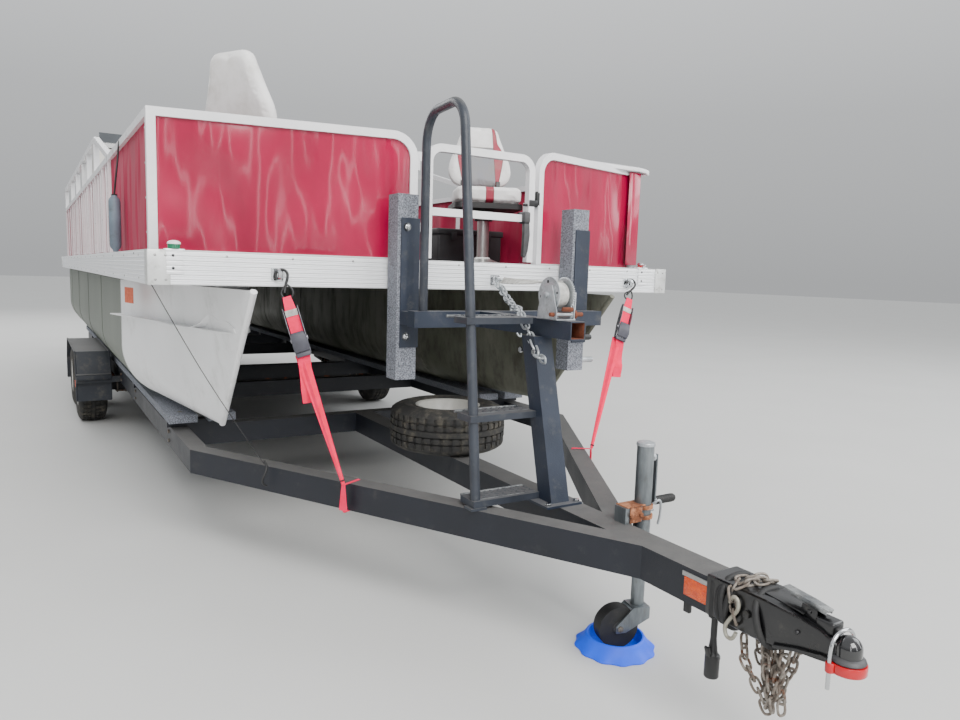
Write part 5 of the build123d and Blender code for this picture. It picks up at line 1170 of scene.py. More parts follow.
@dataclass
class Trimmings:
    """Bow lights and the hanging bumper."""

    lights: tuple[float, float] = (-1.135, 1.060)

    def build(self) -> None:
        """Make the lights and the bumper."""
        starboard, port = self.lights
        plate = Form()
        for x in self.lights:
            plate.box(at(x, 0.012, TRIM_HIGH + 0.0025), (0.066, 0.030, 0.005), bevel=0.001)
            plate.box(at(x, -0.0025, TRIM_HIGH - 0.040), (0.056, 0.004, 0.085), bevel=0.001)
        plate.piece("light_plates", Paint.TRIM, stands_for=("nav_lights",))
        screws = Form()
        for x in self.lights:
            for z in (TRIM_HIGH - 0.018, TRIM_HIGH - 0.062):
                screws.ball(at(x - 0.006, -0.005, z), 0.005, (1, 0.5, 1))
        screws.piece("light_screws", Paint.HANDLE)
        for name, x, radius, tall, paint in (("starboard", starboard, 0.021, 0.016, Paint.GREEN),
                                             ("port", port, 0.016, 0.013, Paint.RED_LENS)):
            lens = Form()
            lens.lathe([(CORE, 0.0), (radius, 0.0), (radius + 0.0005, tall), (CORE, tall)],
                       at(x, 0.012, TRIM_HIGH + 0.005), UP)
            lens.piece(f"{name}_lens", paint)
        dome = Form()
        dome.lathe([(CORE, 0.0), (0.0225, 0.0), (0.022, 0.006), (0.016, 0.011), (0.006, 0.0135),
                    (CORE, 0.0138)], at(starboard, 0.012, TRIM_HIGH + 0.021), UP)
        dome.piece("starboard_light_cap", Paint.WHITE)
        chrome = Form()
        chrome.lathe([(CORE, 0.0), (0.019, 0.0), (0.018, 0.006), (0.012, 0.010), (CORE, 0.011)],
                     at(port, 0.012, TRIM_HIGH + 0.018), UP)
        z = TRIM_HIGH + 0.012
        chrome.rod(at(port, -0.006, z), at(port, -0.020, z), 0.007, bevel=0.001)
        chrome.piece("port_light_cap", Paint.CHROME)
        self.bumper()

    def bumper(self) -> None:
        """Make the slim bumper that hangs on a rope from the starboard fence."""
        foot = at(-1.216, 1.100, TRIM_HIGH)
        body = Form()
        body.lathe([(CORE, 0.0), (0.011, 0.001), (0.013, 0.010), (0.022, 0.020), (0.0255, 0.032),
                    (0.026, 0.120), (0.0258, 0.230), (0.022, 0.244), (0.014, 0.252), (0.013, 0.263),
                    (CORE, 0.264)], foot, UP, 40)
        body.piece("bumper_body", Paint.BUMPER, stands_for=("boat_bumper",))
        eye = Form()
        eye.lathe([(0.004, 0.0), (0.0135, 0.0), (0.0135, 0.014), (0.004, 0.014)],
                  foot + Vector((0, 0, 0.250)), UP, 24)
        eye.hose(beside(foot, (0, 0, 0.262), (0.006, -0.01, 0.33), (0.018, 0.0, 0.42),
                        (0.026, 0.012, 0.5165), (0.045, 0.014, 0.522), (0.060, 0.010, 0.50),
                        (0.058, 0.0, 0.47)), 0.0042)
        eye.piece("bumper_rope", Paint.BLACK)


@dataclass
class Outboard:
    """The pod, the outboard's casing and its propeller."""

    transom: float = 7.430
    steer: float = 7.535

    def build(self, frame: dict) -> None:
        """Dress the pod and the outboard, and add seams, louvres and bolts."""
        # Painted shade: the motor pod takes the shaded aluminium.
        dress(frame, Paint.OLIVE, "motor_pod")
        dress(frame, Paint.BLACK, "outboard_swivel", "outboard_leg")
        dress(frame, Paint.COWL, "outboard_cowl")
        dress(frame, Paint.PROPELLER, "outboard_propeller")
        seam = Form()
        outline = []
        for a in angles(48):
            side, back = math.sin(a), -math.cos(a)
            reach = 0.105 if back < 0 else 0.425
            outline.append(Vector((side * 0.158, DECK_FRONT + self.steer + back * reach + 0.02, 1.2585)))
        seam.prism(outline, Vector((0, 0, 0.006)))
        seam.piece("cowl_seam", Paint.RUBBER, body="outboard")
        louvre = Form()
        for k in range(5):
            louvre.box(at(0, self.steer + 0.405 - 0.012 * k, 1.50 + 0.022 * k),
                       (0.13 - 0.008 * k, 0.020, 0.008), turned(-30, "X"), bevel=0.002)
        louvre.piece("cowl_louvres", Paint.RUBBER, body="outboard")
        latch = Form()
        latch.box(at(0, self.steer + 0.424, 1.285), (0.060, 0.016, 0.036), bevel=0.005, segments=3)
        latch.piece("cowl_latch", Paint.SATIN, body="outboard")
        bolts = Form()
        y = self.steer + 0.14
        for x in (-0.06, 0.06):
            for z in (0.86, 1.19):
                bolts.rod(at(x * 0.8, y, z), at(x * 0.86, y, z), 0.010, sides=6)
        bolts.rod(at(0, 7.886, 0.640), at(0, 7.905, 0.640), 0.017, sides=6, bevel=0.001)
        bolts.piece("outboard_bolts", Paint.SATIN, body="outboard")
        plates = Form()
        for x in (-0.080, 0.080):
            for z in (0.99, 1.07):
                plates.rod(at(x, self.transom, z), at(x, self.transom + 0.014, z), 0.012, sides=6,
                           bevel=0.001)
        plates.piece("transom_bolts", Paint.SATIN)


@dataclass
class Wheels:
    """Treaded tyres on white wheels, for both axles and the spare."""

    centre: float = 1.180
    radius: float = 0.260
    steps: int = 120
    spare: Point = (0.038, 0.135, 0.537)

    def tyre(self, name: str, centre: Vector, axis: Vector, body: str, node: str) -> None:
        """Turn a tyre with ribs, grooves and shoulder blocks.

        Args:
            name: the piece's name.
            centre: the tyre's middle.
            axis: its axle, pointing outboard.
            body: the body it rides on.
            node: the CAD node it stands for.
        """
        ribs = ((-0.068, -0.046), (-0.039, -0.017), (-0.011, 0.011), (0.017, 0.039), (0.046, 0.068))
        profile = [(0.1385, -0.078), (0.147, -0.090), (0.158, -0.0935), (0.160, -0.0915), (0.180, -0.0985),
                   (0.203, -0.0995), (0.205, -0.098), (0.226, -0.093), (0.243, -0.084), (0.253, -0.076)]
        for low, high in ribs:
            crown = 0.2595 - abs(low + high) ** 2 * 0.25
            profile += [(crown, low), (crown, high), (crown - 0.006, high + 0.001),
                        (crown - 0.006, high + 0.006)]
        profile = profile[:-2]
        profile += [(r, -h) for r, h in reversed(profile[:10])]
        form = Form()
        form.lathe(profile, centre, axis, self.steps)
        blocks = []
        reference = axis.orthogonal().normalized()
        for face in form.bm.faces:
            arm = face.calc_center_median() - centre
            along = arm.dot(axis)
            radial = arm - axis * along
            turn = math.atan2(radial.dot(axis.cross(reference)), radial.dot(reference))
            step = int(round((turn % math.tau) / math.tau * self.steps - 0.5))
            if radial.length > 0.2555 and abs(along) > 0.012 and step % 3 == (1 if along > 0 else 0):
                blocks.append((face, radial.normalized()))
        for face, out in blocks:
            cut = bmesh.ops.extrude_discrete_faces(form.bm, faces=[face])["faces"]
            bmesh.ops.translate(form.bm, vec=-out * 0.0055, verts=list(cut[0].verts))
        form.piece(name, Paint.TYRE, body, angle=32, stands_for=(node,))

    def rim(self, name: str, centre: Vector, axis: Vector, body: str, node: str, spare: bool) -> None:
        """Turn a wheel with its dished disc, nuts and cap, axis pointing outboard."""
        hub = 0.013 if spare else 0.046
        form = Form()
        form.lathe([(0.1375, -0.084), (0.1375, -0.060), (0.118, -0.048), (0.118, 0.010), (0.1375, 0.055),
                    (0.1375, 0.084), (0.146, 0.088), (0.147, 0.092), (0.1425, 0.0925), (0.1325, 0.086),
                    (0.1305, 0.058), (0.112, 0.014), (0.104, 0.026), (0.088, 0.038), (0.070, 0.034),
                    (hub, 0.034), (hub, 0.027), (0.070, 0.027), (0.088, 0.031), (0.100, 0.018),
                    (0.111, -0.046), (0.131, -0.058), (0.131, -0.084)], centre, axis, 64)
        form.piece(name, Paint.RIM, body, stands_for=(node,))
        nuts = Form()
        reference = axis.orthogonal().normalized()
        for a in angles(5):
            spot = centre + Matrix.Rotation(a, 3, axis) @ reference * 0.057
            nuts.rod(spot + axis * 0.034, spot + axis * (0.040 if spare else 0.050), 0.0105, sides=6,
                     bevel=0.001)
        if not spare:
            nuts.lathe([(CORE, -0.060), (0.045, -0.060), (0.045, 0.030), (0.040, 0.034), (0.034, 0.060),
                        (0.028, 0.066), (CORE, 0.068)], centre, axis, 40)
        nuts.piece(f"{name}_nuts", Paint.RUSTY_ZINC, body)

    def build(self) -> None:
        """Make the four wheels and the spare."""
        for where, y in zip(("front", "rear"), AXLES):
            for side, hand in (("starboard", -1), ("port", 1)):
                centre = at(hand * self.centre, y, self.radius)
                axis = Vector((hand, 0, 0))
                body = f"wheel_{where}_{side}"
                self.tyre(f"tread_{where}_{side}", centre, axis, body, f"tyre_{where}_{side}")
                self.rim(f"wheel_{where}_{side}_white", centre, axis, body, f"rim_{where}_{side}", False)
        middle = at(*self.spare)
        self.tyre("tread_spare", middle, UP, BASE, "spare_tyre")
        self.rim("wheel_spare_white", middle, UP, BASE, "spare_rim", True)
        stud = Form()
        x, y, _ = self.spare
        stud.rod(at(x, y, 0.557), at(x, y, 0.583), 0.024, sides=6, bevel=0.002)
        stud.rod(at(x, y, 0.571), at(x, y, 0.574), 0.050, sides=32, bevel=0.001)
        stud.piece("spare_clamp", Paint.RUSTY_ZINC)


@dataclass
class Trailer:
    """The trailer's frame, bunks, axles, fenders and lamps."""

    half: float = 1.006
    crossmembers: tuple[float, ...] = (1.050, 2.350, 3.180, 4.860, 5.850)

    def build(self, frame: dict) -> None:
        """Dress the trailer and add its bolts and lamps."""
        dress(frame, Paint.FRAME, "trailer_frame")
        dress(frame, Paint.BUNK, "bunks")
        dress(frame, Paint.AXLE, "axles")
        dress(frame, Paint.FENDER, "trailer_fenders")
        bolts = Form()
        for y in self.crossmembers:
            for x in (-0.957, -0.777, 0.777, 0.957):
                bolts.ball(at(x, y, 0.5025), 0.011, (1, 1, 0.35))
            for hand in (-1, 1):
                for z in (0.365, 0.410):
                    bolts.rod(at(hand * self.half, y, z), at(hand * (self.half + 0.008), y, z), 0.009,
                              sides=6)
        bolts.piece("frame_bolts", Paint.RUSTY_ZINC)
        ubolts = Form()
        for y in AXLES:
            for hand in (-1, 1):
                for off in (-0.040, 0.040):
                    for x in (0.938, 0.998):
                        ubolts.rod(at(hand * x, y + off, 0.212), at(hand * x, y + off, 0.330), 0.006,
                                   sides=10)
                ubolts.box(at(hand * 0.968, y, 0.224), (0.085, 0.105, 0.010), bevel=0.002)
        ubolts.piece("axle_clamps", Paint.RUSTY)
        self.lamps()
        self.fenders()

    def lamps(self) -> None:
        """Add reflectors, tail lamps and the bare plate."""
        amber = Form()
        for hand in (-1, 1):
            amber.box(at(hand * 0.0525, -1.432, 0.384), (0.005, 0.084, 0.052), bevel=0.0015)
            amber.box(at(hand * 1.298, 3.352, 0.330), (0.006, 0.030, 0.050), bevel=0.002)
        amber.piece("side_reflectors", Paint.AMBER)
        strip = Form()
        for hand in (-1, 1):
            strip.box(at(hand * 0.0520, -1.428, 0.417), (0.003, 0.094, 0.014), bevel=0.001)
        strip.piece("reflector_strips", Paint.SATIN)
        housing = Form()
        lens = Form()
        level = 0.385
        for x in (-0.90, 0.90):
            housing.box(at(x, 6.612, level), (0.170, 0.026, 0.090), bevel=0.006)
            lens.box(at(x, 6.629, level), (0.156, 0.016, 0.076), bevel=0.006, segments=3)
        housing.piece("tail_lamp_housings", Paint.BLACK)
        lens.piece("tail_lamp_lenses", Paint.RED_LENS)
        plate = Form()
        plate.box(at(-0.60, 6.603, level), (0.305, 0.003, 0.100), bevel=0.001)
        plate.piece("bare_plate", Paint.WHITE)
        tab = Form()
        tab.box(at(-0.020, -1.378, 0.315), (0.012, 0.022, 0.045), bevel=0.002)
        tab.piece("tongue_tab", Paint.BLACK)

    def fenders(self) -> None:
        """Add rolled edges and the step in front of each fender."""
        form = Form()
        bead = 0.0055
        for hand in (-1, 1):
            for x in (1.066, 1.294):
                line = [at(hand * x, y, z) for y, z in ((3.311, 0.205), (3.311, 0.380), (3.430, 0.5555),
                                                        (4.540, 0.5555), (4.659, 0.380), (4.659, 0.205))]
                for a, b in zip(line, line[1:]):
                    form.rod(a, b, bead, sides=10)
                for a in line[1:-1]:
                    form.ball(a, bead)
        form.piece("fender_beads", Paint.FENDER)
        ledge = Form()
        wide = 0.226
        for x in (-1.180, 1.180):
            ledge.box(at(x, 3.272, 0.400), (wide, 0.070, 0.008), bevel=0.002)
            ledge.box(at(x, 3.240, 0.385), (wide, 0.006, 0.038), bevel=0.002)
        ledge.piece("fender_steps", Paint.FENDER)


@dataclass
class Jack:
    """Tongue jack with crank, clamp and pin, its caster, and the blue dock."""

    x: float = 0.130
    y: float = -1.030
    caster: Point = (0.05756, -1.01059, 0.074)
    turn: float = 165.0
    crank_top: float = 0.640
    crank_low: float = 0.489

    def build(self, frame: dict) -> None:
        """Dress the jack and add its small hardware."""
        dress(frame, Paint.TUBE, "jack_tube", "jack_fork")
        dress(frame, Paint.RUBBER, "jack_wheel")
        self.wheel()
        self.clamp()
        self.crank()
        self.dock()

    def wheel(self) -> None:
        """Add the caster's ribbed discs and the axle's nuts."""
        face = Form()
        a = math.radians(self.turn)
        axle = Vector((-math.sin(a), math.cos(a), 0))
        centre = at(*self.caster)
        for hand in (-1, 1):
            out = axle * hand
            face.lathe([(0.011, 0.0155), (0.050, 0.0155), (0.0505, 0.0185), (0.0555, 0.0185),
                        (0.0560, 0.0225), (0.0480, 0.0225), (0.0440, 0.0185), (0.022, 0.0185),
                        (0.019, 0.0280), (0.011, 0.0280)], centre, out, 48)
            hub = centre + out * 0.0190
            for turn in angles(8):
                arm = Matrix.Rotation(turn, 3, axle) @ UP
                face.rod(hub + arm * 0.017, hub + arm * 0.048, 0.003, sides=8)
        face.piece("caster_spokes", Paint.WHEEL_GREY, body="caster")
        nut = Form()
        for hand in (-1, 1):
            nut.rod(centre + axle * hand * 0.0285, centre + axle * hand * 0.0385, 0.011, sides=6,
                    bevel=0.001)
        nut.piece("caster_nuts", Paint.RUSTY_ZINC)

    def clamp(self) -> None:
        """Add the rusty clamp bands, the bolted plate and the pin's wire loop."""
        clamp = Form()
        tube = at(self.x, self.y, 0)
        for z in (0.447, 0.480):
            clamp.lathe([(0.0285, -0.006), (0.034, -0.006), (0.034, 0.006), (0.0285, 0.006)],
                        tube + Vector((0, 0, z)), UP, 40)
        clamp.box(at(self.x - 0.052, self.y, 0.4905), (0.078, 0.056, 0.004), bevel=0.0015)
        plate, level = self.x - 0.055, 0.463
        clamp.box(at(plate, self.y - 0.028, level), (0.050, 0.005, 0.050), bevel=0.002)
        for x in (plate - 0.020, plate + 0.020):
            clamp.rod(at(x, self.y - 0.036, level), at(x, self.y - 0.029, level), 0.008, sides=6)
        clamp.piece("jack_clamp_plate", Paint.CLAMP)
        loop = Form()
        loop.hose(path((self.x + 0.026, self.y, 0.470), (self.x + 0.036, self.y - 0.020, 0.492),
                       (self.x + 0.050, self.y - 0.026, 0.500), (self.x + 0.060, self.y - 0.024, 0.484),
                       (self.x + 0.062, self.y - 0.020, 0.440), (self.x + 0.058, self.y - 0.016, 0.412)),
                  0.0042)
        loop.rod(at(self.x + 0.018, self.y, 0.462), at(self.x + 0.044, self.y - 0.004, 0.462), 0.007,
                 bevel=0.001)
        loop.piece("jack_pin_loop", Paint.ZINC)

    def crank(self) -> None:
        """Add the crank's boss, collar and ribbed grip, and the tube's cap."""
        x = self.x + 0.044
        steel = Form()
        steel.lathe([(0.0085, 0.0), (0.014, 0.0), (0.014, 0.010), (0.0085, 0.012)],
                    at(self.x + 0.028, self.y, self.crank_top), PORT, 28)
        steel.rod(at(x + 0.006, self.y, self.crank_low), at(x + 0.012, self.y, self.crank_low), 0.0135,
                  bevel=0.001)
        steel.lathe([(CORE, 0.0), (0.0305, 0.0), (0.0305, 0.0075), (0.029, 0.0105), (0.020, 0.0135),
                     (CORE, 0.0145)], at(self.x, self.y, 0.682), UP, 48)
        steel.piece("jack_crank_steel", Paint.ZINC)
        grip = Form()
        profile = [(CORE, 0.0), (0.0125, 0.0)]
        for k in range(7):
            profile += [(0.0142, 0.004 + 0.0112 * k), (0.0142, 0.0115 + 0.0112 * k),
                        (0.0128, 0.0130 + 0.0112 * k)]
        profile += [(0.0135, 0.0860), (0.0100, 0.0915), (CORE, 0.0920)]
        grip.lathe(profile, at(x + 0.006, self.y, self.crank_low), PORT, 32)
        grip.piece("jack_crank_grip", Paint.RUBBER)

    def dock(self) -> None:
        """Turn the dock's bell and give its foot a scalloped edge."""
        form = Form()
        hub = at(self.caster[0], self.caster[1], 0)
        form.lathe([(CORE, 0.0), (0.1300, 0.0), (0.1312, 0.0035), (0.1260, 0.0090), (0.1160, 0.0170),
                    (0.1070, 0.0270), (0.1000, 0.0380), (0.0965, 0.0440), (0.0925, 0.0458),
                    (0.0880, 0.0445), (0.0860, 0.0380), (0.0845, 0.0120), (0.0800, 0.0045),
                    (CORE, 0.0040)], hub, UP, 144)
        for vertex in form.bm.verts:
            arm = vertex.co - hub
            reach = math.hypot(arm.x, arm.y)
            share = min(1.0, max(0.0, (reach - 0.104) / 0.026))
            if share:
                wave = 1 + 0.026 * share * share * math.cos(12 * math.atan2(arm.y, arm.x))
                vertex.co.x, vertex.co.y = hub.x + arm.x * wave, hub.y + arm.y * wave
        form.piece("dock_bell", Paint.DOCK, stands_for=("wheel_dock",))


@dataclass
class Coupler:
    """The ball coupler with its latch and lock, the safety chains and the lamp lead."""

    nose: float = -1.838
    tongue: float = -1.635
    dome: float = 0.0300
    straight: float = 0.026

    def end(self, x: float, y: float, z: float) -> Vector:
        """Return the point that lies y aft of the tongue's front end."""
        return at(x, self.tongue + y, z)

    def ends(self, *places: Point) -> list[Vector]:
        """Return the points for places measured as end() does."""
        return [self.end(*place) for place in places]

    def build(self) -> None:
        """Build the coupler and hang everything that is on the tongue's end."""
        self.casting()
        self.latch()
        self.lock()
        self.chains()
        self.lead()

    def casting(self) -> None:
        """Shape the pressed channel that narrows to the dome, with its collar and lower flange."""
        body = Form()
        shape = ((0.165, 0.0590, 0.338, 0.449), (-0.020, 0.0590, 0.338, 0.449),
                 (-0.050, 0.0570, 0.342, 0.446), (-0.105, 0.0370, 0.352, 0.434),
                 (-0.150, 0.0300, 0.356, 0.424), (-0.190, 0.0265, 0.359, 0.404))
        body.bar([(self.end(0, y, (low + high) / 2), Vector((half, 0, 0)), Vector((0, 0, (high - low) / 2)))
                  for y, half, low, high in shape], bevel=0.0055, segments=3)
        for hand in (-1, 1):
            body.bar([(self.end(hand * (half + 0.002), y, low + 0.004), Vector((0.006, 0, 0)),
                       Vector((0, 0, 0.005))) for y, half, low, _ in shape[2:]], bevel=0.002)
        body.box(self.end(0, -0.048, 0.4468), (0.058, 0.110, 0.004), Matrix.Rotation(0.085, 4, "X"),
                 bevel=0.0015)
        body.piece("coupler_casting", Paint.COUPLER, stands_for=("coupler",), angle=35)
        dome = Form()
        arc = [(self.dome * math.cos(a), self.straight + self.dome * math.sin(a))
               for a in (math.radians(9 * k) for k in range(9))]
        dome.lathe([(0.022, 0.0), (self.dome, 0.0), *arc, (CORE, self.straight + self.dome), (CORE, 0.040),
                    (0.022, 0.020)], at(0, self.nose, 0.3705), UP, 64)
        dome.piece("coupler_dome", Paint.DOME)
        collar = Form()
        collar.lathe([(0.027, 0.0), (0.0385, 0.0), (0.0398, 0.0025), (0.0375, 0.0080), (0.0315, 0.0130),
                      (0.027, 0.0135)], at(0, self.nose, 0.3675), UP, 64)
        collar.piece("coupler_collar", Paint.WHEEL_GREY)
        bolts = Form()
        for hand in (-1, 1):
            for y in (0.030, 0.115):
                bolts.rod(self.end(hand * 0.058, y, 0.392), self.end(hand * 0.067, y, 0.392), 0.011,
                          sides=6, bevel=0.001)
            bolts.ball(self.end(hand * 0.0415, -0.098, 0.398), 0.0055)
        bolts.piece("coupler_bolts", Paint.HANDLE)

    def latch(self) -> None:
        """Add the latch block behind the dome and the flat lever over the channel."""
        block = Form()
        block.box(at(0, self.nose + 0.052, 0.431), (0.044, 0.048, 0.030), bevel=0.006, segments=3)
        cheek = ((0.070, 0.424), (0.118, 0.432), (0.112, 0.464), (0.074, 0.462))
        for hand in (-1, 1):
            block.prism([at(hand * 0.0165, self.nose + y, z) for y, z in cheek],
                        Vector((hand * 0.003, 0, 0)), bevel=0.0008)
        y = self.nose + 0.092
        block.rod(at(-0.024, y, 0.450), at(0.024, y, 0.450), 0.0055, bevel=0.001)
        block.piece("coupler_latch", Paint.COUPLER)
        lever = Form()
        lever.bar([(at(0, self.nose + y, z), Vector((half, 0, 0)), Vector((0, 0, 0.0028)))
                   for y, half, z in ((0.050, 0.011, 0.4640), (0.096, 0.013, 0.4710),
                                      (0.172, 0.0125, 0.4790))], bevel=0.0012)
        for hand in (-1, 1):
            lever.bar([(at(hand * 0.0110, self.nose + y, z - 0.005), Vector((0.0014, 0, 0)),
                        Vector((0, 0, 0.005))) for y, z in ((0.054, 0.4640), (0.096, 0.4705),
                                                            (0.150, 0.4765))], bevel=0.0006)
        lever.piece("coupler_lever", Paint.WORN)

    def lock(self) -> None:
        """Make the red lock body with its chrome shackle over the dome."""
        body = Form()
        body.lathe([(0.0270, 0.0), (0.0415, 0.0), (0.0427, 0.002), (0.0427, 0.0210), (0.0415, 0.0230),
                    (0.0270, 0.0230)], at(0, self.nose, 0.343), UP, 56)
        for hand in (-1, 1):
            body.lathe([(CORE, 0.0), (0.0095, 0.0), (0.0105, 0.002), (0.0105, 0.022), (0.0095, 0.0232),
                        (CORE, 0.0232)], at(hand * 0.0425, self.nose + 0.016, 0.343), UP, 24)
        body.piece("lock_body", Paint.LOCK, stands_for=("coupler_lock",))
        shackle = Form()
        y = self.nose + 0.016
        route = path((-0.0455, y, 0.302), (-0.0455, y, 0.345), (-0.0460, y, 0.385), (-0.042, y, 0.414),
                     (-0.022, y, 0.4300), (0.0, y, 0.4330), (0.022, y, 0.4300), (0.042, y, 0.414),
                     (0.0460, y, 0.385), (0.0455, y, 0.356))
        shackle.hose(route, 0.0050, sides=4)
        shackle.piece("lock_shackle", Paint.CHROME)

    def link(self) -> bpy.types.Mesh:
        """Return one chain link, long way along Z."""
        corners = ((0.011, 0, 0.011), (0.011, 0, -0.011), (0.0065, 0, -0.0195), (-0.0065, 0, -0.0195),
                   (-0.011, 0, -0.011), (-0.011, 0, 0.011), (-0.0065, 0, 0.0195), (0.0065, 0, 0.0195))
        return Form().hose([Vector(corner) for corner in corners], 0.0035, closed=True).mesh("link")

    def run(self, form: Form, link: bpy.types.Mesh, points: list[Vector], size: float = 1.0,
            twist: float = 0.0) -> None:
        """Lay links along a route.

        Args:
            form: what takes the links.
            link: one link.
            points: the route's corners.
            size: the links' scale.
            twist: how far each link turns more than a quarter turn.
        """
        pitch = 0.0285 * size
        spots = [points[0]]
        for start, end in zip(points, points[1:]):
            reach = (end - start).length
            spots += [start.lerp(end, (k + 1) / 12) for k in range(12)] if reach else []
        walked, last, count = 0.0, spots[0], 0
        for spot in spots[1:]:
            step = (spot - last).length
            while walked + step >= pitch:
                share = (pitch - walked) / step
                place = last.lerp(spot, share)
                along = (spot - last).normalized()
                roll = Matrix.Rotation(math.radians(90 * count) + twist * count, 4, "Z")
                turn = aimed(place, along) @ roll
                before = len(form.bm.verts)
                form.bm.from_mesh(link)
                form.bm.verts.ensure_lookup_table()
                bmesh.ops.transform(form.bm, matrix=turn @ Matrix.Scale(size, 4),
                                    verts=form.bm.verts[before:])
                count += 1
                step -= (place - last).length
                last, walked = place, 0.0
            walked += step
            last = spot

    def chains(self) -> None:
        """Hang the rusty safety chains, wound once round the tongue and bundled below it."""
        link = self.link()
        form = Form()
        rng = random.Random(7)
        hanging = ((0.030, 0.060, 0.332), (0.030, 0.048, 0.25), (0.020, 0.010, 0.19), (0.010, -0.010, 0.145),
                   (0.014, -0.030, 0.20), (0.022, -0.052, 0.27), (0.026, -0.066, 0.338))
        for hand in (-1, 1):
            bundle = [self.end(hand * x, y, z) for x, y, z in hanging]
            self.run(form, link, bundle, 1.0, 0.25)
        for _ in range(6):
            x, y = rng.uniform(-0.026, 0.026), self.tongue - 0.018 + rng.uniform(-0.024, 0.024)
            low = 0.160 + rng.uniform(0, 0.05)
            drop = path((x * 0.9, y + 0.012, 0.335), (x, y + 0.010, 0.28), (x * 0.9, y, 0.22),
                        (x * 0.5, y - 0.008, low))
            self.run(form, link, drop, 1.0, 0.4)
        wrap = self.ends((-0.060, 0.055, 0.345), (-0.066, 0.065, 0.385), (-0.063, 0.080, 0.430),
                         (-0.030, 0.085, 0.4555), (0.000, 0.075, 0.4575), (0.040, 0.065, 0.455),
                         (0.064, 0.060, 0.430), (0.066, 0.050, 0.380))
        self.run(form, link, wrap, 1.0, 0.15)
        second = self.ends((-0.064, 0.080, 0.437), (-0.036, 0.055, 0.460), (0.010, 0.040, 0.4625),
                           (0.052, 0.030, 0.455))
        self.run(form, link, second, 1.0, 0.3)
        form.piece("safety_chains", Paint.RUSTY, stands_for=("chains",))
        hook = Form()
        hook.hose(self.ends((-0.066, 0.080, 0.405), (-0.070, 0.070, 0.428), (-0.070, 0.052, 0.424),
                            (-0.070, 0.048, 0.398), (-0.071, 0.070, 0.368), (-0.071, 0.088, 0.338),
                            (-0.071, 0.080, 0.312), (-0.070, 0.058, 0.314), (-0.070, 0.052, 0.336)),
                  0.0052)
        hook.piece("chain_hook", Paint.HOOK)
        small = Form()
        small.hose(self.ends((-0.056, -0.000, 0.352), (-0.052, -0.025, 0.340), (-0.030, -0.055, 0.336),
                             (-0.010, -0.068, 0.345)), 0.0022)
        small.piece("keeper_wire", Paint.CHROME)
        bpy.data.meshes.remove(link)

    def lead(self) -> None:
        """Wind the lamp lead round the tongue and let its plug hang below."""
        rings = Form()
        for y, tilt, grow in ((0.118, 0.0, 0.0), (0.102, 0.012, 0.004), (0.090, -0.010, 0.002),
                              (-0.006, 0.022, 0.003)):
            wide, high = 0.067 + grow, 0.063 + grow
            points = []
            for a in angles(12):
                square = 1 / max(abs(math.cos(a)), abs(math.sin(a))) ** 0.55
                points.append(self.end(wide * math.cos(a) * square, y + tilt * math.sin(a),
                                       0.386 + high * math.sin(a) * square))
            rings.hose(points, 0.0088, closed=True)
        rings.piece("lead_turns", Paint.RUBBER)
        tape = Form()
        tape.prism([self.end(x, 0.155, z) for x, z in ((-0.060, 0.330), (-0.060, 0.442), (0.060, 0.442),
                                                       (0.060, 0.330))], Vector((0, -0.022, 0)),
                   bevel=0.008, segments=3)
        tape.piece("lead_tape", Paint.RUBBER)
        plug = Form()
        foot = at(-0.020, -1.475, 0.150)
        plug.lathe([(CORE, 0.0), (0.0185, 0.0), (0.0200, 0.002), (0.0200, 0.058), (0.0188, 0.064),
                    (0.0150, 0.067), (0.0128, 0.076), (0.0105, 0.092), (0.0088, 0.110), (0.0088, 0.205),
                    (CORE, 0.205)], foot, UP, 32)
        plug.box(foot + Vector((-0.019, 0.0, 0.074)), (0.008, 0.016, 0.034), turned(-18, "Y"),
                 bevel=0.002)
        plug.box(foot + Vector((0.019, 0.0, 0.050)), (0.012, 0.016, 0.012), bevel=0.002)
        plug.piece("lamp_plug", Paint.BLACK, stands_for=("trailer_plug",))


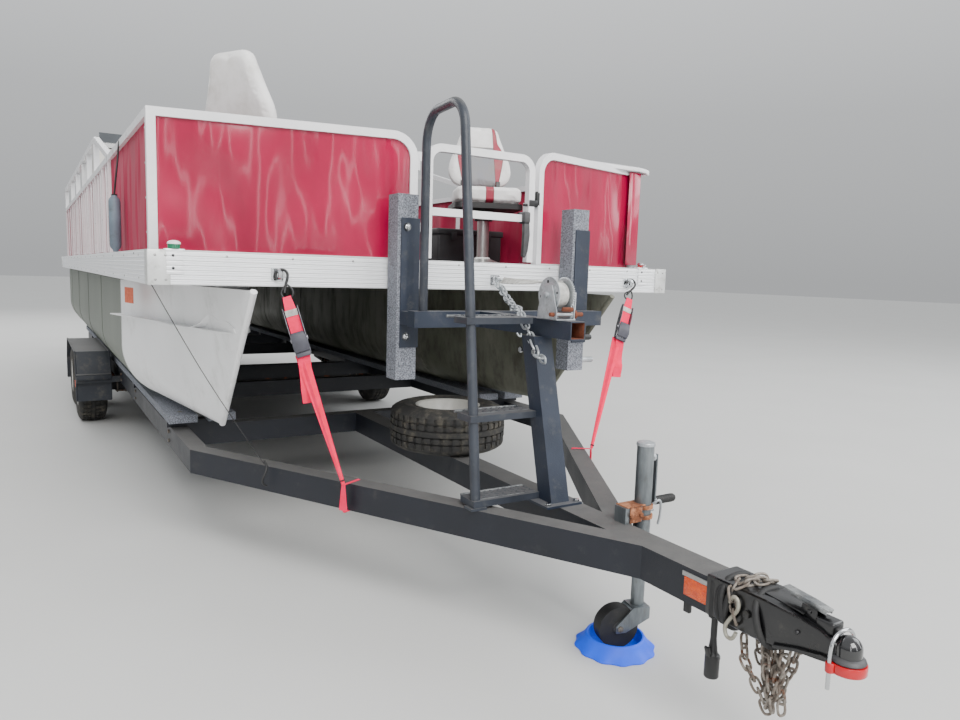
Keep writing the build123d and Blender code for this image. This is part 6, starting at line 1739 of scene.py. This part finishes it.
@dataclass
class Stand:
    """The winch stand with its bow stops, the boarding ladder and the winch."""

    post_x: float = -0.030
    level: float = 1.040
    tube: float = 0.063
    stops: tuple[float, float] = (-0.292, 0.575)
    treads: tuple = ((0.468, -0.6647), (0.750, -0.6049), (1.075, -0.5332))

    def build(self, frame: dict) -> None:
        """Dress stand and ladder, then add plates, bolts, treads and winch."""
        dress(frame, Paint.STAND, "winch_stand")
        dress(frame, Paint.LADDER, "ladder")
        bolts = Form()
        for z in (0.965, 1.395):
            x = self.stops[0] - 0.006
            bolts.ball(at(x, -0.106, z), 0.011, (1, 0.5, 1))
            bolts.lathe([(CORE, 0.0), (0.016, 0.0), (0.016, 0.0022), (CORE, 0.0022)], at(x, -0.105, z),
                        Vector((0, -1, 0)), 24)
        for x in (self.post_x - 0.060, self.post_x + 0.060):
            for y in (-0.760 - 0.050, -0.760 + 0.050):
                bolts.rod(at(x, y, 0.444), at(x, y, 0.454), 0.011, sides=6, bevel=0.001)
        for y in (-0.66, -0.58):
            bolts.rod(at(self.post_x - 0.042, y, 0.955), at(self.post_x - 0.036, y, 0.955), 0.011, sides=6)
        bolts.piece("stand_bolts", Paint.CHROME)
        lip = Form()
        half = self.tube / 2 - 0.0042
        for side in (-1, 1):
            lip.box(at(side * half, -0.776, self.level), (0.0012, 0.075, 2 * half), bevel=0.0003)
            lip.box(at(0, -0.776, self.level + side * half), (2 * half, 0.075, 0.0012), bevel=0.0003)
        lip.box(at(0, -0.740, self.level), (2 * half, 0.002, 2 * half), bevel=0.0003)
        lip.piece("rusty_tube_end", Paint.RUST)
        stub = Form()
        stub.rod(at(0.560, -0.062, 0.835), at(0.690, -0.080, 0.835), 0.013, bevel=0.002)
        stub.lathe([(0.0135, -0.006), (0.019, -0.006), (0.019, 0.006), (0.0135, 0.006)],
                   at(0.628, -0.0714, 0.835), Vector((1, -0.138, 0)).normalized(), 28)
        stub.piece("stop_stub", Paint.ZINC)
        caps = Form()
        for x in self.stops:
            caps.box(at(x, -0.055, 1.5205), (0.090, 0.090, 0.004), bevel=0.0018, segments=3)
            caps.box(at(x + 0.0442, -0.055, 1.155), (0.0025, 0.012, 0.72), bevel=0.0008)
        caps.piece("stop_carpet_folds", Paint.BUNK)
        self.tread_plates()
        self.winch_parts()

    def tread_plates(self) -> None:
        """Add the worn nosing and the raised diamonds of each tread."""
        form = Form()
        nosing = Form()
        left, right = -0.326, -0.070
        for z, y in self.treads:
            for edge in (y - 0.0435, y + 0.0435):
                nosing.rod(at(left, edge, z - 0.004), at(right, edge, z - 0.004), 0.0052, sides=12)
            for row in range(4):
                for k in range(9):
                    x = left + 0.022 + k * 0.028 + (row % 2) * 0.008
                    turn = turned(45 if (row + k) % 2 else -45, "Z")
                    form.box(at(x, y - 0.027 + row * 0.018, z + 0.0006), (0.018, 0.005, 0.0018), turn,
                             bevel=0.0006, segments=1)
        form.piece("tread_pattern", Paint.LADDER)
        nosing.piece("tread_nosings", Paint.WORN)

    def winch_parts(self) -> None:
        """Build the winch in place of its plain solid."""
        x0, y0, z0 = WINCH
        foot = self.level + self.tube / 2
        plates = Form()
        shield = [(-0.055, foot), (0.055, foot), (0.055, foot + 0.030), (0.036, z0), (0.024, z0 + 0.034),
                  (-0.024, z0 + 0.034), (-0.036, z0), (-0.055, foot + 0.030)]
        for x in (x0 - 0.040, x0 + 0.037):
            plates.prism([at(x, y0 + dy, z) for dy, z in shield], Vector((0.003, 0, 0)), bevel=0.0006,
                         segments=1)
        plates.box(at(x0, y0, foot + 0.002), (0.080, 0.120, 0.004), bevel=0.0012)
        for y in (y0 - 0.045, y0 + 0.045):
            plates.rod(at(x0 - 0.040, y, foot + 0.020), at(x0 + 0.040, y, foot + 0.020), 0.006, bevel=0.001)
        plates.piece("winch_frame", Paint.ZINC, stands_for=("winch",))

        def on_disc(x: float, reach: float, degrees: float) -> Vector:
            """Return a point beside the winch, this far from its axle."""
            a = math.radians(degrees)
            return at(x0 + x, y0 + reach * math.cos(a), z0 + reach * math.sin(a))

        disc = Form()
        disc.lathe([(0.006, 0.0), (0.0615, 0.0), (0.062, 0.0012), (0.0605, 0.0028), (0.056, 0.0016),
                    (0.030, 0.0030), (0.022, 0.0075), (0.013, 0.0080), (0.006, 0.0080)],
                   at(x0 - 0.0315, y0, z0), Vector((-1, 0, 0)), 64)
        disc.lathe([(CORE, 0.0), (0.0095, 0.0), (0.0095, 0.0115), (0.0075, 0.0130), (CORE, 0.0130)],
                   at(x0 - 0.0395, y0, z0), Vector((-1, 0, 0)), 24)
        for k in range(3):
            disc.rod(on_disc(-0.0335, 0.042, 25 + 120 * k), on_disc(-0.0365, 0.042, 25 + 120 * k), 0.0052,
                     sides=6)
        disc.piece("winch_disc", Paint.ZINC)
        # Painted shade: black discs on the disc stand for the dark inside its holes.
        hole_shadows = Form()
        for k, radius in enumerate((0.006, 0.0045, 0.0045, 0.006)):
            hole_shadows.rod(on_disc(-0.0325, 0.046, 80 + 90 * k), on_disc(-0.0340, 0.046, 80 + 90 * k), radius,
                      sides=18)
        hole_shadows.piece("winch_disc_holes", Paint.BLACK)
        gear = Form()
        teeth = 44
        rim = [(0.0615 if k % 4 in (0, 1) else 0.0570, a) for k, a in enumerate(angles(4 * teeth))]
        gear.prism([at(x0 + 0.028, y0 + r * math.cos(a), z0 + r * math.sin(a)) for r, a in rim],
                   Vector((0.0055, 0, 0)))
        gear.lathe([(0.006, 0.0), (0.026, 0.0), (0.026, 0.0030), (0.018, 0.0060), (0.006, 0.0060)],
                   at(x0 + 0.0335, y0, z0), PORT, 32)
        pinion = [(0.0155 if k % 4 in (0, 1) else 0.0115, a) for k, a in enumerate(angles(48))]
        fore, low = y0 - 0.038, z0 - 0.066
        gear.prism([at(x0 + 0.0275, fore + r * math.cos(a), low + r * math.sin(a)) for r, a in pinion],
                   Vector((0.0080, 0, 0)))
        gear.piece("winch_gears", Paint.ZINC)
        shaft = Form()
        shaft.rod(at(x0 - 0.055, fore, low), at(x0 + 0.085, fore, low), 0.0075, bevel=0.001)
        shaft.lathe([(0.008, -0.006), (0.015, -0.004), (0.015, 0.004), (0.008, 0.006)],
                    at(x0 + 0.050, fore, low), PORT, 24)
        shaft.box(at(x0 + 0.010, y0 - 0.050, low + 0.018), (0.046, 0.010, 0.014),
                  Matrix.Rotation(0.4, 4, "X"), bevel=0.002)
        shaft.piece("winch_shaft", Paint.RUST)
        arm = Form()
        arm.box(at(x0 + 0.076, y0, z0 - 0.075), (0.006, 0.022, 0.170), bevel=0.002)
        arm.rod(at(x0 + 0.040, y0, z0), at(x0 + 0.080, y0, z0), 0.009, sides=6, bevel=0.001)
        arm.piece("winch_crank", Paint.ZINC)
        grip = Form()
        grip.lathe([(CORE, 0.0), (0.0095, 0.0), (0.0108, 0.006), (0.0100, 0.040), (0.0108, 0.076),
                    (0.0090, 0.085), (CORE, 0.085)], at(x0 + 0.073, y0, z0 - 0.150), PORT, 28)
        grip.piece("winch_grip", Paint.BLACK)
        drum = Form()
        turns = [(0.0445 - 0.0012 * (k % 2), -0.021 + 0.006 * k) for k in range(8)]
        drum.lathe([(CORE, -0.022), *turns, (CORE, 0.022)], at(x0, y0, z0), PORT, 48)
        drum.piece("winch_strap_roll", Paint.GREY_WEBBING)


@dataclass
class TieDowns:
    """Red tie-down straps with hooks and ratchets, the winch strap, the bow's chain and a taut line."""

    lines: tuple = (((-0.780, -0.018, 1.1713), (-0.572, -0.238, 0.4412)),
                    ((0.962, -0.018, 1.1713), (0.560, -0.190, 0.444)))
    down: float = 0.176
    tail: float = 0.185
    edge: float = 0.047
    wide: float = 0.046

    def band(self, form: Form, points: list[Vector], wide: list[float] | float, facing: Vector,
             thick: float = 0.0026) -> None:
        """Add a flat band along the points, its faces turned as told.

        Args:
            form: what takes the band.
            points: its middle line.
            wide: its width, or its width at each point.
            facing: the way its face looks.
            thick: its thickness.
        """
        sections = []
        for i, point in enumerate(points):
            ahead = points[min(i + 1, len(points) - 1)] - points[max(i - 1, 0)]
            across = ahead.cross(facing).normalized()
            out = across.cross(ahead).normalized() * thick / 2
            sections.append((point, across * (wide[i] if isinstance(wide, list) else wide) / 2, out))
        form.bar(sections)

    def build(self) -> None:
        """Lay the straps with their hooks and ratchets, then the winch strap, the chain and the line."""
        webs = Form()
        hooks = Form()
        gear = Form()
        handles = Form()
        tags = Form()
        for start, end in self.lines:
            hand = math.copysign(1, start[0])
            slope, side = self.rail(hand)
            top, tied = at(*start) + Vector((0.014, 0, 0)), at(*end)
            low = tied + side * hand * self.edge
            along = (low - top).normalized()
            facing = Vector((-0.35, -1, 0)).normalized()
            frame_x = along.cross(facing).normalized()
            front = frame_x.cross(along).normalized()
            reach = (low - top).length
            loop = [top + along * (0.062 + (self.down - 0.030) * k / 6) + front * 0.010 for k in range(7)]
            self.band(webs, loop, [0.030 + (self.wide - 0.030) * min(1.0, k / 3) for k in range(7)], front,
                      0.004)
            below = self.down + 0.105
            hang = Vector((-0.10 * hand, -0.06, -1)).normalized()
            sway = [front * (0.009 + 0.004 * math.sin(k * 0.9)) for k in range(13)]
            tail = [top + along * below + hang * self.tail * k / 12 + sway[k] for k in range(13)]
            self.band(webs, tail, self.wide, (front - frame_x * 0.1).normalized(), 0.0045)
            self.band(webs, tail[8:], self.wide * 1.04, (front - frame_x * 0.1).normalized(), 0.0090)
            label = [top + along * (self.down - 0.062 + 0.008 * k) + front * 0.0135 for k in range(4)]
            self.band(tags, label, self.wide * 0.98, front, 0.0024)
            line, widths, steps = [], [], 16
            for k in range(steps + 1):
                share = k / steps
                line.append(top + along * (below + (reach - below) * share) + frame_x * 0.010 * (1 - share))
                widths.append(self.wide * (1 - 0.72 * share))
            self.band(webs, line, widths, (front + frame_x * 0.12).normalized(), 0.0030)
            fold = [p + frame_x * 0.004 + front * 0.004 for p in line]
            self.band(webs, fold, [w * 0.45 for w in widths], (front + frame_x * 0.9).normalized(), 0.0030)
            knot = low - along * 0.014
            hooks.hose([knot + frame_x * 0.008 * math.cos(a) + front * 0.008 * math.sin(a)
                        for a in angles(8)], 0.0025, closed=True)
            self.rail_wrap(webs, tied, slope, side, hand)
            self.hook(hooks, top, along, frame_x)
            self.ratchet(gear, handles, top + along * self.down, along, frame_x, front)
        tags.piece("tie_down_labels", Paint.GREY_WEBBING)
        webs.piece("tie_down_webbing", Paint.WEBBING, stands_for=("straps",))
        hooks.piece("tie_down_hooks", Paint.BLACK, stands_for=("ratchets",))
        gear.piece("ratchet_frames", Paint.RATCHET)
        handles.piece("ratchet_handles", Paint.SHIELD)
        self.winch_strap()
        self.taut_line()

    def rail(self, hand: float) -> tuple[Vector, Vector]:
        """Return the way a side's sloping rail runs, and the way across it."""
        run = Vector((0.870, 1.450, 0)) if hand > 0 else Vector((-0.955, 1.734, 0))
        slope = run.normalized()
        return slope, Vector((slope.y, -slope.x, 0))

    def rail_wrap(self, form: Form, foot: Vector, slope: Vector, side: Vector, hand: float) -> None:
        """Close a strap round the rail that it is tied to, and let its end flare in front.

        Args:
            form: what takes the strap.
            foot: where the strap meets the rail.
            slope: the way the rail runs.
            side: the way across the rail.
            hand: 1 to port, -1 to starboard.
        """
        inner = foot + Vector((0, 0, -0.002))
        low = 0.105
        across = side * 0.040
        ring = [inner - across * 1.05, inner + across * 1.05, inner + across * 1.08 - Vector((0, 0, low)),
                inner - across * 1.08 - Vector((0, 0, low)), inner - across * 1.05]
        for a, b in zip(ring, ring[1:]):
            face = (a + b) / 2 - (inner - Vector((0, 0, low / 2)))
            self.band(form, [a, a.lerp(b, 0.5), b], 0.009, (face - slope * face.dot(slope)).normalized())
        outer = inner + side * hand * self.edge
        flare = [outer + Vector((0, 0, 0.006 - 0.026 * k)) for k in range(5)]
        self.band(form, flare, [0.014 + 0.006 * k for k in range(len(flare))], side)

    def hook(self, form: Form, top: Vector, along: Vector, across: Vector) -> None:
        """Add the S-hook that joins an eye and a strap's loop."""
        eye = top + Vector((0, 0, 0.022))
        bent = ((0.024, 0.012), (0.026, -0.010), (0.004, -0.026), (-0.020, -0.014), (-0.020, 0.010),
                (0.002, 0.044), (0.010, 0.066))
        loop = ((-0.006, 0.034), (-0.022, 0.060), (-0.018, 0.088), (0.018, 0.088), (0.024, 0.062),
                (0.006, 0.046))
        form.hose([eye + across * a + along * b for a, b in bent], 0.0052)
        form.hose([eye + across * a + along * b for a, b in loop], 0.0036, closed=True)

    def ratchet(self, form: Form, handles: Form, top: Vector, along: Vector, across: Vector,
                front: Vector) -> None:
        """Add one ratchet: cheeks, spool, toothed wheels, and its handle under a moulded shield."""
        frame = Matrix((across, along, front)).transposed().to_4x4()
        half = self.wide / 2 + 0.0035
        for side in (-1, 1):
            cheek = [(-0.085, 0.004), (-0.080, 0.022), (-0.020, 0.030), (0.060, 0.028), (0.098, 0.016),
                     (0.100, 0.002), (0.020, -0.006), (-0.060, -0.004)]
            spot = top + across * side * half
            form.prism([spot + along * (0.010 + a) + front * b for a, b in cheek], across * side * 0.0022,
                       bevel=0.0006, segments=1)
            wheel = [(0.0170 if k % 2 else 0.0140, a) for k, a in enumerate(angles(28))]
            hub = top + along * 0.052 + across * side * (half - 0.0035) + front * 0.014
            form.prism([hub + along * r * math.cos(a) + front * r * math.sin(a) for r, a in wheel],
                       across * side * 0.002)
        for level, reach, rise, radius, bevel in ((0.052, half + 0.006, 0.014, 0.0085, 0.001),
                                                  (0.104, half, 0.006, 0.0045, 0.0)):
            ends = [top + along * level + across * side * reach + front * rise for side in (-1, 1)]
            form.rod(*ends, radius, bevel=bevel)
        middle = top + along * 0.060 + front * 0.030
        handles.bar([(middle + along * a + front * b, across * w, front * 0.004)
                     for a, b, w in ((-0.034, -0.004, 0.022), (-0.020, 0.002, half),
                                     (0.018, 0.004, half + 0.003), (0.042, -0.002, half + 0.001))],
                    bevel=0.0025)
        handles.box(middle + along * 0.050 - front * 0.010, (2 * half, 0.018, 0.012), frame, bevel=0.003)

    def winch_strap(self) -> None:
        """Run the grey strap from the drum to the centre eye, with its hook, and hang the bow's chain."""
        drum = at(*WINCH[:2], WINCH[2] + 0.0468)
        eye = at(0.182, -0.018, 1.196)
        grey = Form()
        along = (eye - drum).normalized()
        end = eye - along * 0.075
        steps = 16
        points = [drum.lerp(end, k / steps) + Vector((0, 0, -0.006 * math.sin(math.pi * k / steps)))
                  for k in range(steps + 1)]
        side = Vector((along.y, -along.x, 0)).normalized()
        for k in range(steps):
            twist = 0.9 * k / steps
            facing = UP * math.cos(twist) - side * math.sin(twist)
            self.band(grey, points[k:k + 2], 0.044 - 0.012 * k / steps, facing)
        grey.piece("winch_webbing", Paint.GREY_WEBBING)
        hook = Form()
        hook.hose([end - along * 0.006 + side * 0.012, end - along * 0.006 - side * 0.012,
                   end + along * 0.020 - side * 0.010, end + along * 0.050,
                   eye + along * 0.004 + Vector((0, 0, 0.016)), eye + along * 0.014,
                   eye + along * 0.002 + Vector((0, 0, -0.016)),
                   eye - along * 0.018 + Vector((0, 0, -0.010))], 0.0042)
        hook.piece("winch_hook", Paint.ZINC)
        chain = Form()
        coupler = Coupler()
        link = coupler.link()
        start = eye + Vector((-0.006, -0.010, -0.014))
        route = [start, at(0.165, -0.085, 1.155), at(0.130, -0.190, 1.118), at(0.082, -0.310, 1.096),
                 at(0.030, -0.420, 1.088), at(-0.022, -0.505, 1.084), at(-0.050, -0.560, 1.062),
                 at(-0.054, -0.610, 1.016), at(-0.062, -0.655, 0.972), at(-0.074, -0.690, 0.944),
                 at(-0.082, -0.735, 0.938)]
        coupler.run(chain, link, route, 1.15, 0.2)
        tail = beside(start, (0.010, -0.015, 0.0), (0.006, -0.060, -0.050), (-0.004, -0.130, -0.096),
                      (-0.020, -0.190, -0.160), (-0.024, -0.230, -0.220))
        coupler.run(chain, link, tail, 1.1, 0.35)
        chain.piece("bow_chain", Paint.ZINC)
        bpy.data.meshes.remove(link)

    def taut_line(self) -> None:
        """Stretch the thin line from the deck's side to its hook on the starboard rail."""
        foot = at(-0.803, 0.105, 0.452)
        line = Form()
        line.hose([at(-1.2215, 0.385, 1.262), at(-1.1, 0.30, 1.0), at(-0.95, 0.20, 0.70), foot], 0.0016)
        line.piece("taut_line", Paint.BLACK)
        hooks = Form()
        hooks.hose(beside(foot, (0, 0, 0.010), (0.012, -0.004, -0.006), (0.004, -0.012, -0.034),
                          (-0.012, -0.014, -0.060), (-0.004, -0.010, -0.085), (0.010, -0.008, -0.088)),
                   0.0045)
        hooks.piece("line_hook", Paint.BLACK)


@dataclass
class Studio:
    """Plain pale floor, soft lights and the photograph's camera."""

    lens: float = 734.0 / 960.0 * 36.0
    yaw: float = 31.70
    pitch: float = 6.73
    roll: float = -1.74
    sky: float = 1.05

    def camera(self) -> None:
        """Stand the camera where the photograph was taken."""
        yaw, pitch, roll = (math.radians(a) for a in (self.yaw, self.pitch, self.roll))
        ahead = Vector((math.sin(yaw) * math.cos(pitch), math.cos(yaw) * math.cos(pitch), -math.sin(pitch)))
        right = Vector((math.cos(yaw), -math.sin(yaw), 0))
        down = ahead.cross(right)
        level = right * math.cos(roll) + down * math.sin(roll)
        up = right * math.sin(roll) - down * math.cos(roll)
        data = bpy.data.cameras.new("camera")
        data.lens, data.sensor_width = self.lens, 36.0
        data.clip_start, data.clip_end = 0.05, 100
        holder = shown("camera", data)
        turn = Matrix((level, up, -ahead)).transposed().to_4x4()
        holder.matrix_world = Matrix.Translation(at(-1.573, -2.740, 1.223)) @ turn
        bpy.context.scene.camera = holder

    def light(self, name: str, place: Vector, target: Vector, size: float, power: float, tint: Colour,
              tall: float = 0.0) -> None:
        """Add a soft light that faces its target, square unless it is given a height."""
        data = bpy.data.lights.new(name, "AREA")
        data.size, data.energy, data.color = size, power, tint
        if tall:
            data.shape, data.size_y = "RECTANGLE", tall
        holder = shown(name, data)
        holder.location = place
        holder.rotation_mode = "QUATERNION"
        holder.rotation_quaternion = (target - place).to_track_quat("-Z", "Y")

    def build(self) -> None:
        """Make floor, world, lights and camera."""
        floor = Form()
        bmesh.ops.create_grid(floor.bm, x_segments=1, y_segments=1, size=60,
                              matrix=Matrix.Translation((0, 0, -0.0005)))
        mesh = floor.mesh("floor")
        graph = Graph("floor")
        tone = graph.mix(graph.speckle(1.2, 3), srgb(196, 196, 194), srgb(204, 204, 202))
        mesh.materials.append(graph.finish(Base_Color=tone, Roughness=0.85))
        shown("floor", mesh)
        world = bpy.data.worlds.new("studio")
        world.use_nodes = True
        tree = world.node_tree
        sky = tree.nodes.new("ShaderNodeTexCoord")
        split = tree.nodes.new("ShaderNodeSeparateXYZ")
        ramp = tree.nodes.new("ShaderNodeValToRGB")
        shades = ((0.0, 0.46), (0.05, 0.50), (0.20, 0.62), (0.42, 1.0))
        while len(ramp.color_ramp.elements) < len(shades):
            ramp.color_ramp.elements.new(0.5)
        for element, (height, shade) in zip(ramp.color_ramp.elements, shades):
            element.position, element.color = height, (shade * 0.96, shade * 0.98, shade, 1)
        background = tree.nodes["Background"]
        tree.links.new(sky.outputs["Generated"], split.inputs[0])
        tree.links.new(split.outputs["Z"], ramp.inputs[0])
        tree.links.new(ramp.outputs[0], background.inputs["Color"])
        background.inputs["Strength"].default_value = self.sky
        bpy.context.scene.world = world
        middle = UP
        self.light("key", Vector((-1.5, -12, 9)), middle, 7, 1800, (1.0, 0.99, 0.97))
        self.light("fill", Vector((9, -6, 7)), middle, 7, 600, (0.95, 0.98, 1.0))
        self.light("rim", Vector((-3, 11, 8)), middle, 6, 600, (1.0, 1.0, 1.0))
        for x, y in ((-3.6, -8.5), (0.6, -9.5), (4.6, -8.0)):
            self.light("strip", Vector((x, y, 2.6)), Vector((0, -2.5, 1.4)), 0.5, 45, (1.0, 1.0, 1.0), 4.0)
        self.camera()


def main() -> None:
    """Load the frame, dress it piece by piece, and close the scene."""
    logging.basicConfig(level=logging.INFO, format="%(name)s: %(message)s")
    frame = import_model()
    Studio().build()
    Hull().build(frame)
    Deck().build(frame)
    Fences().build(frame)
    Chairs().build(frame)
    Helm().build(frame)
    Trimmings().build()
    Outboard().build(frame)
    Wheels().build()
    Trailer().build(frame)
    Jack().build(frame)
    Coupler().build()
    Stand().build(frame)
    TieDowns().build()


if __name__ == "__main__":
    main()
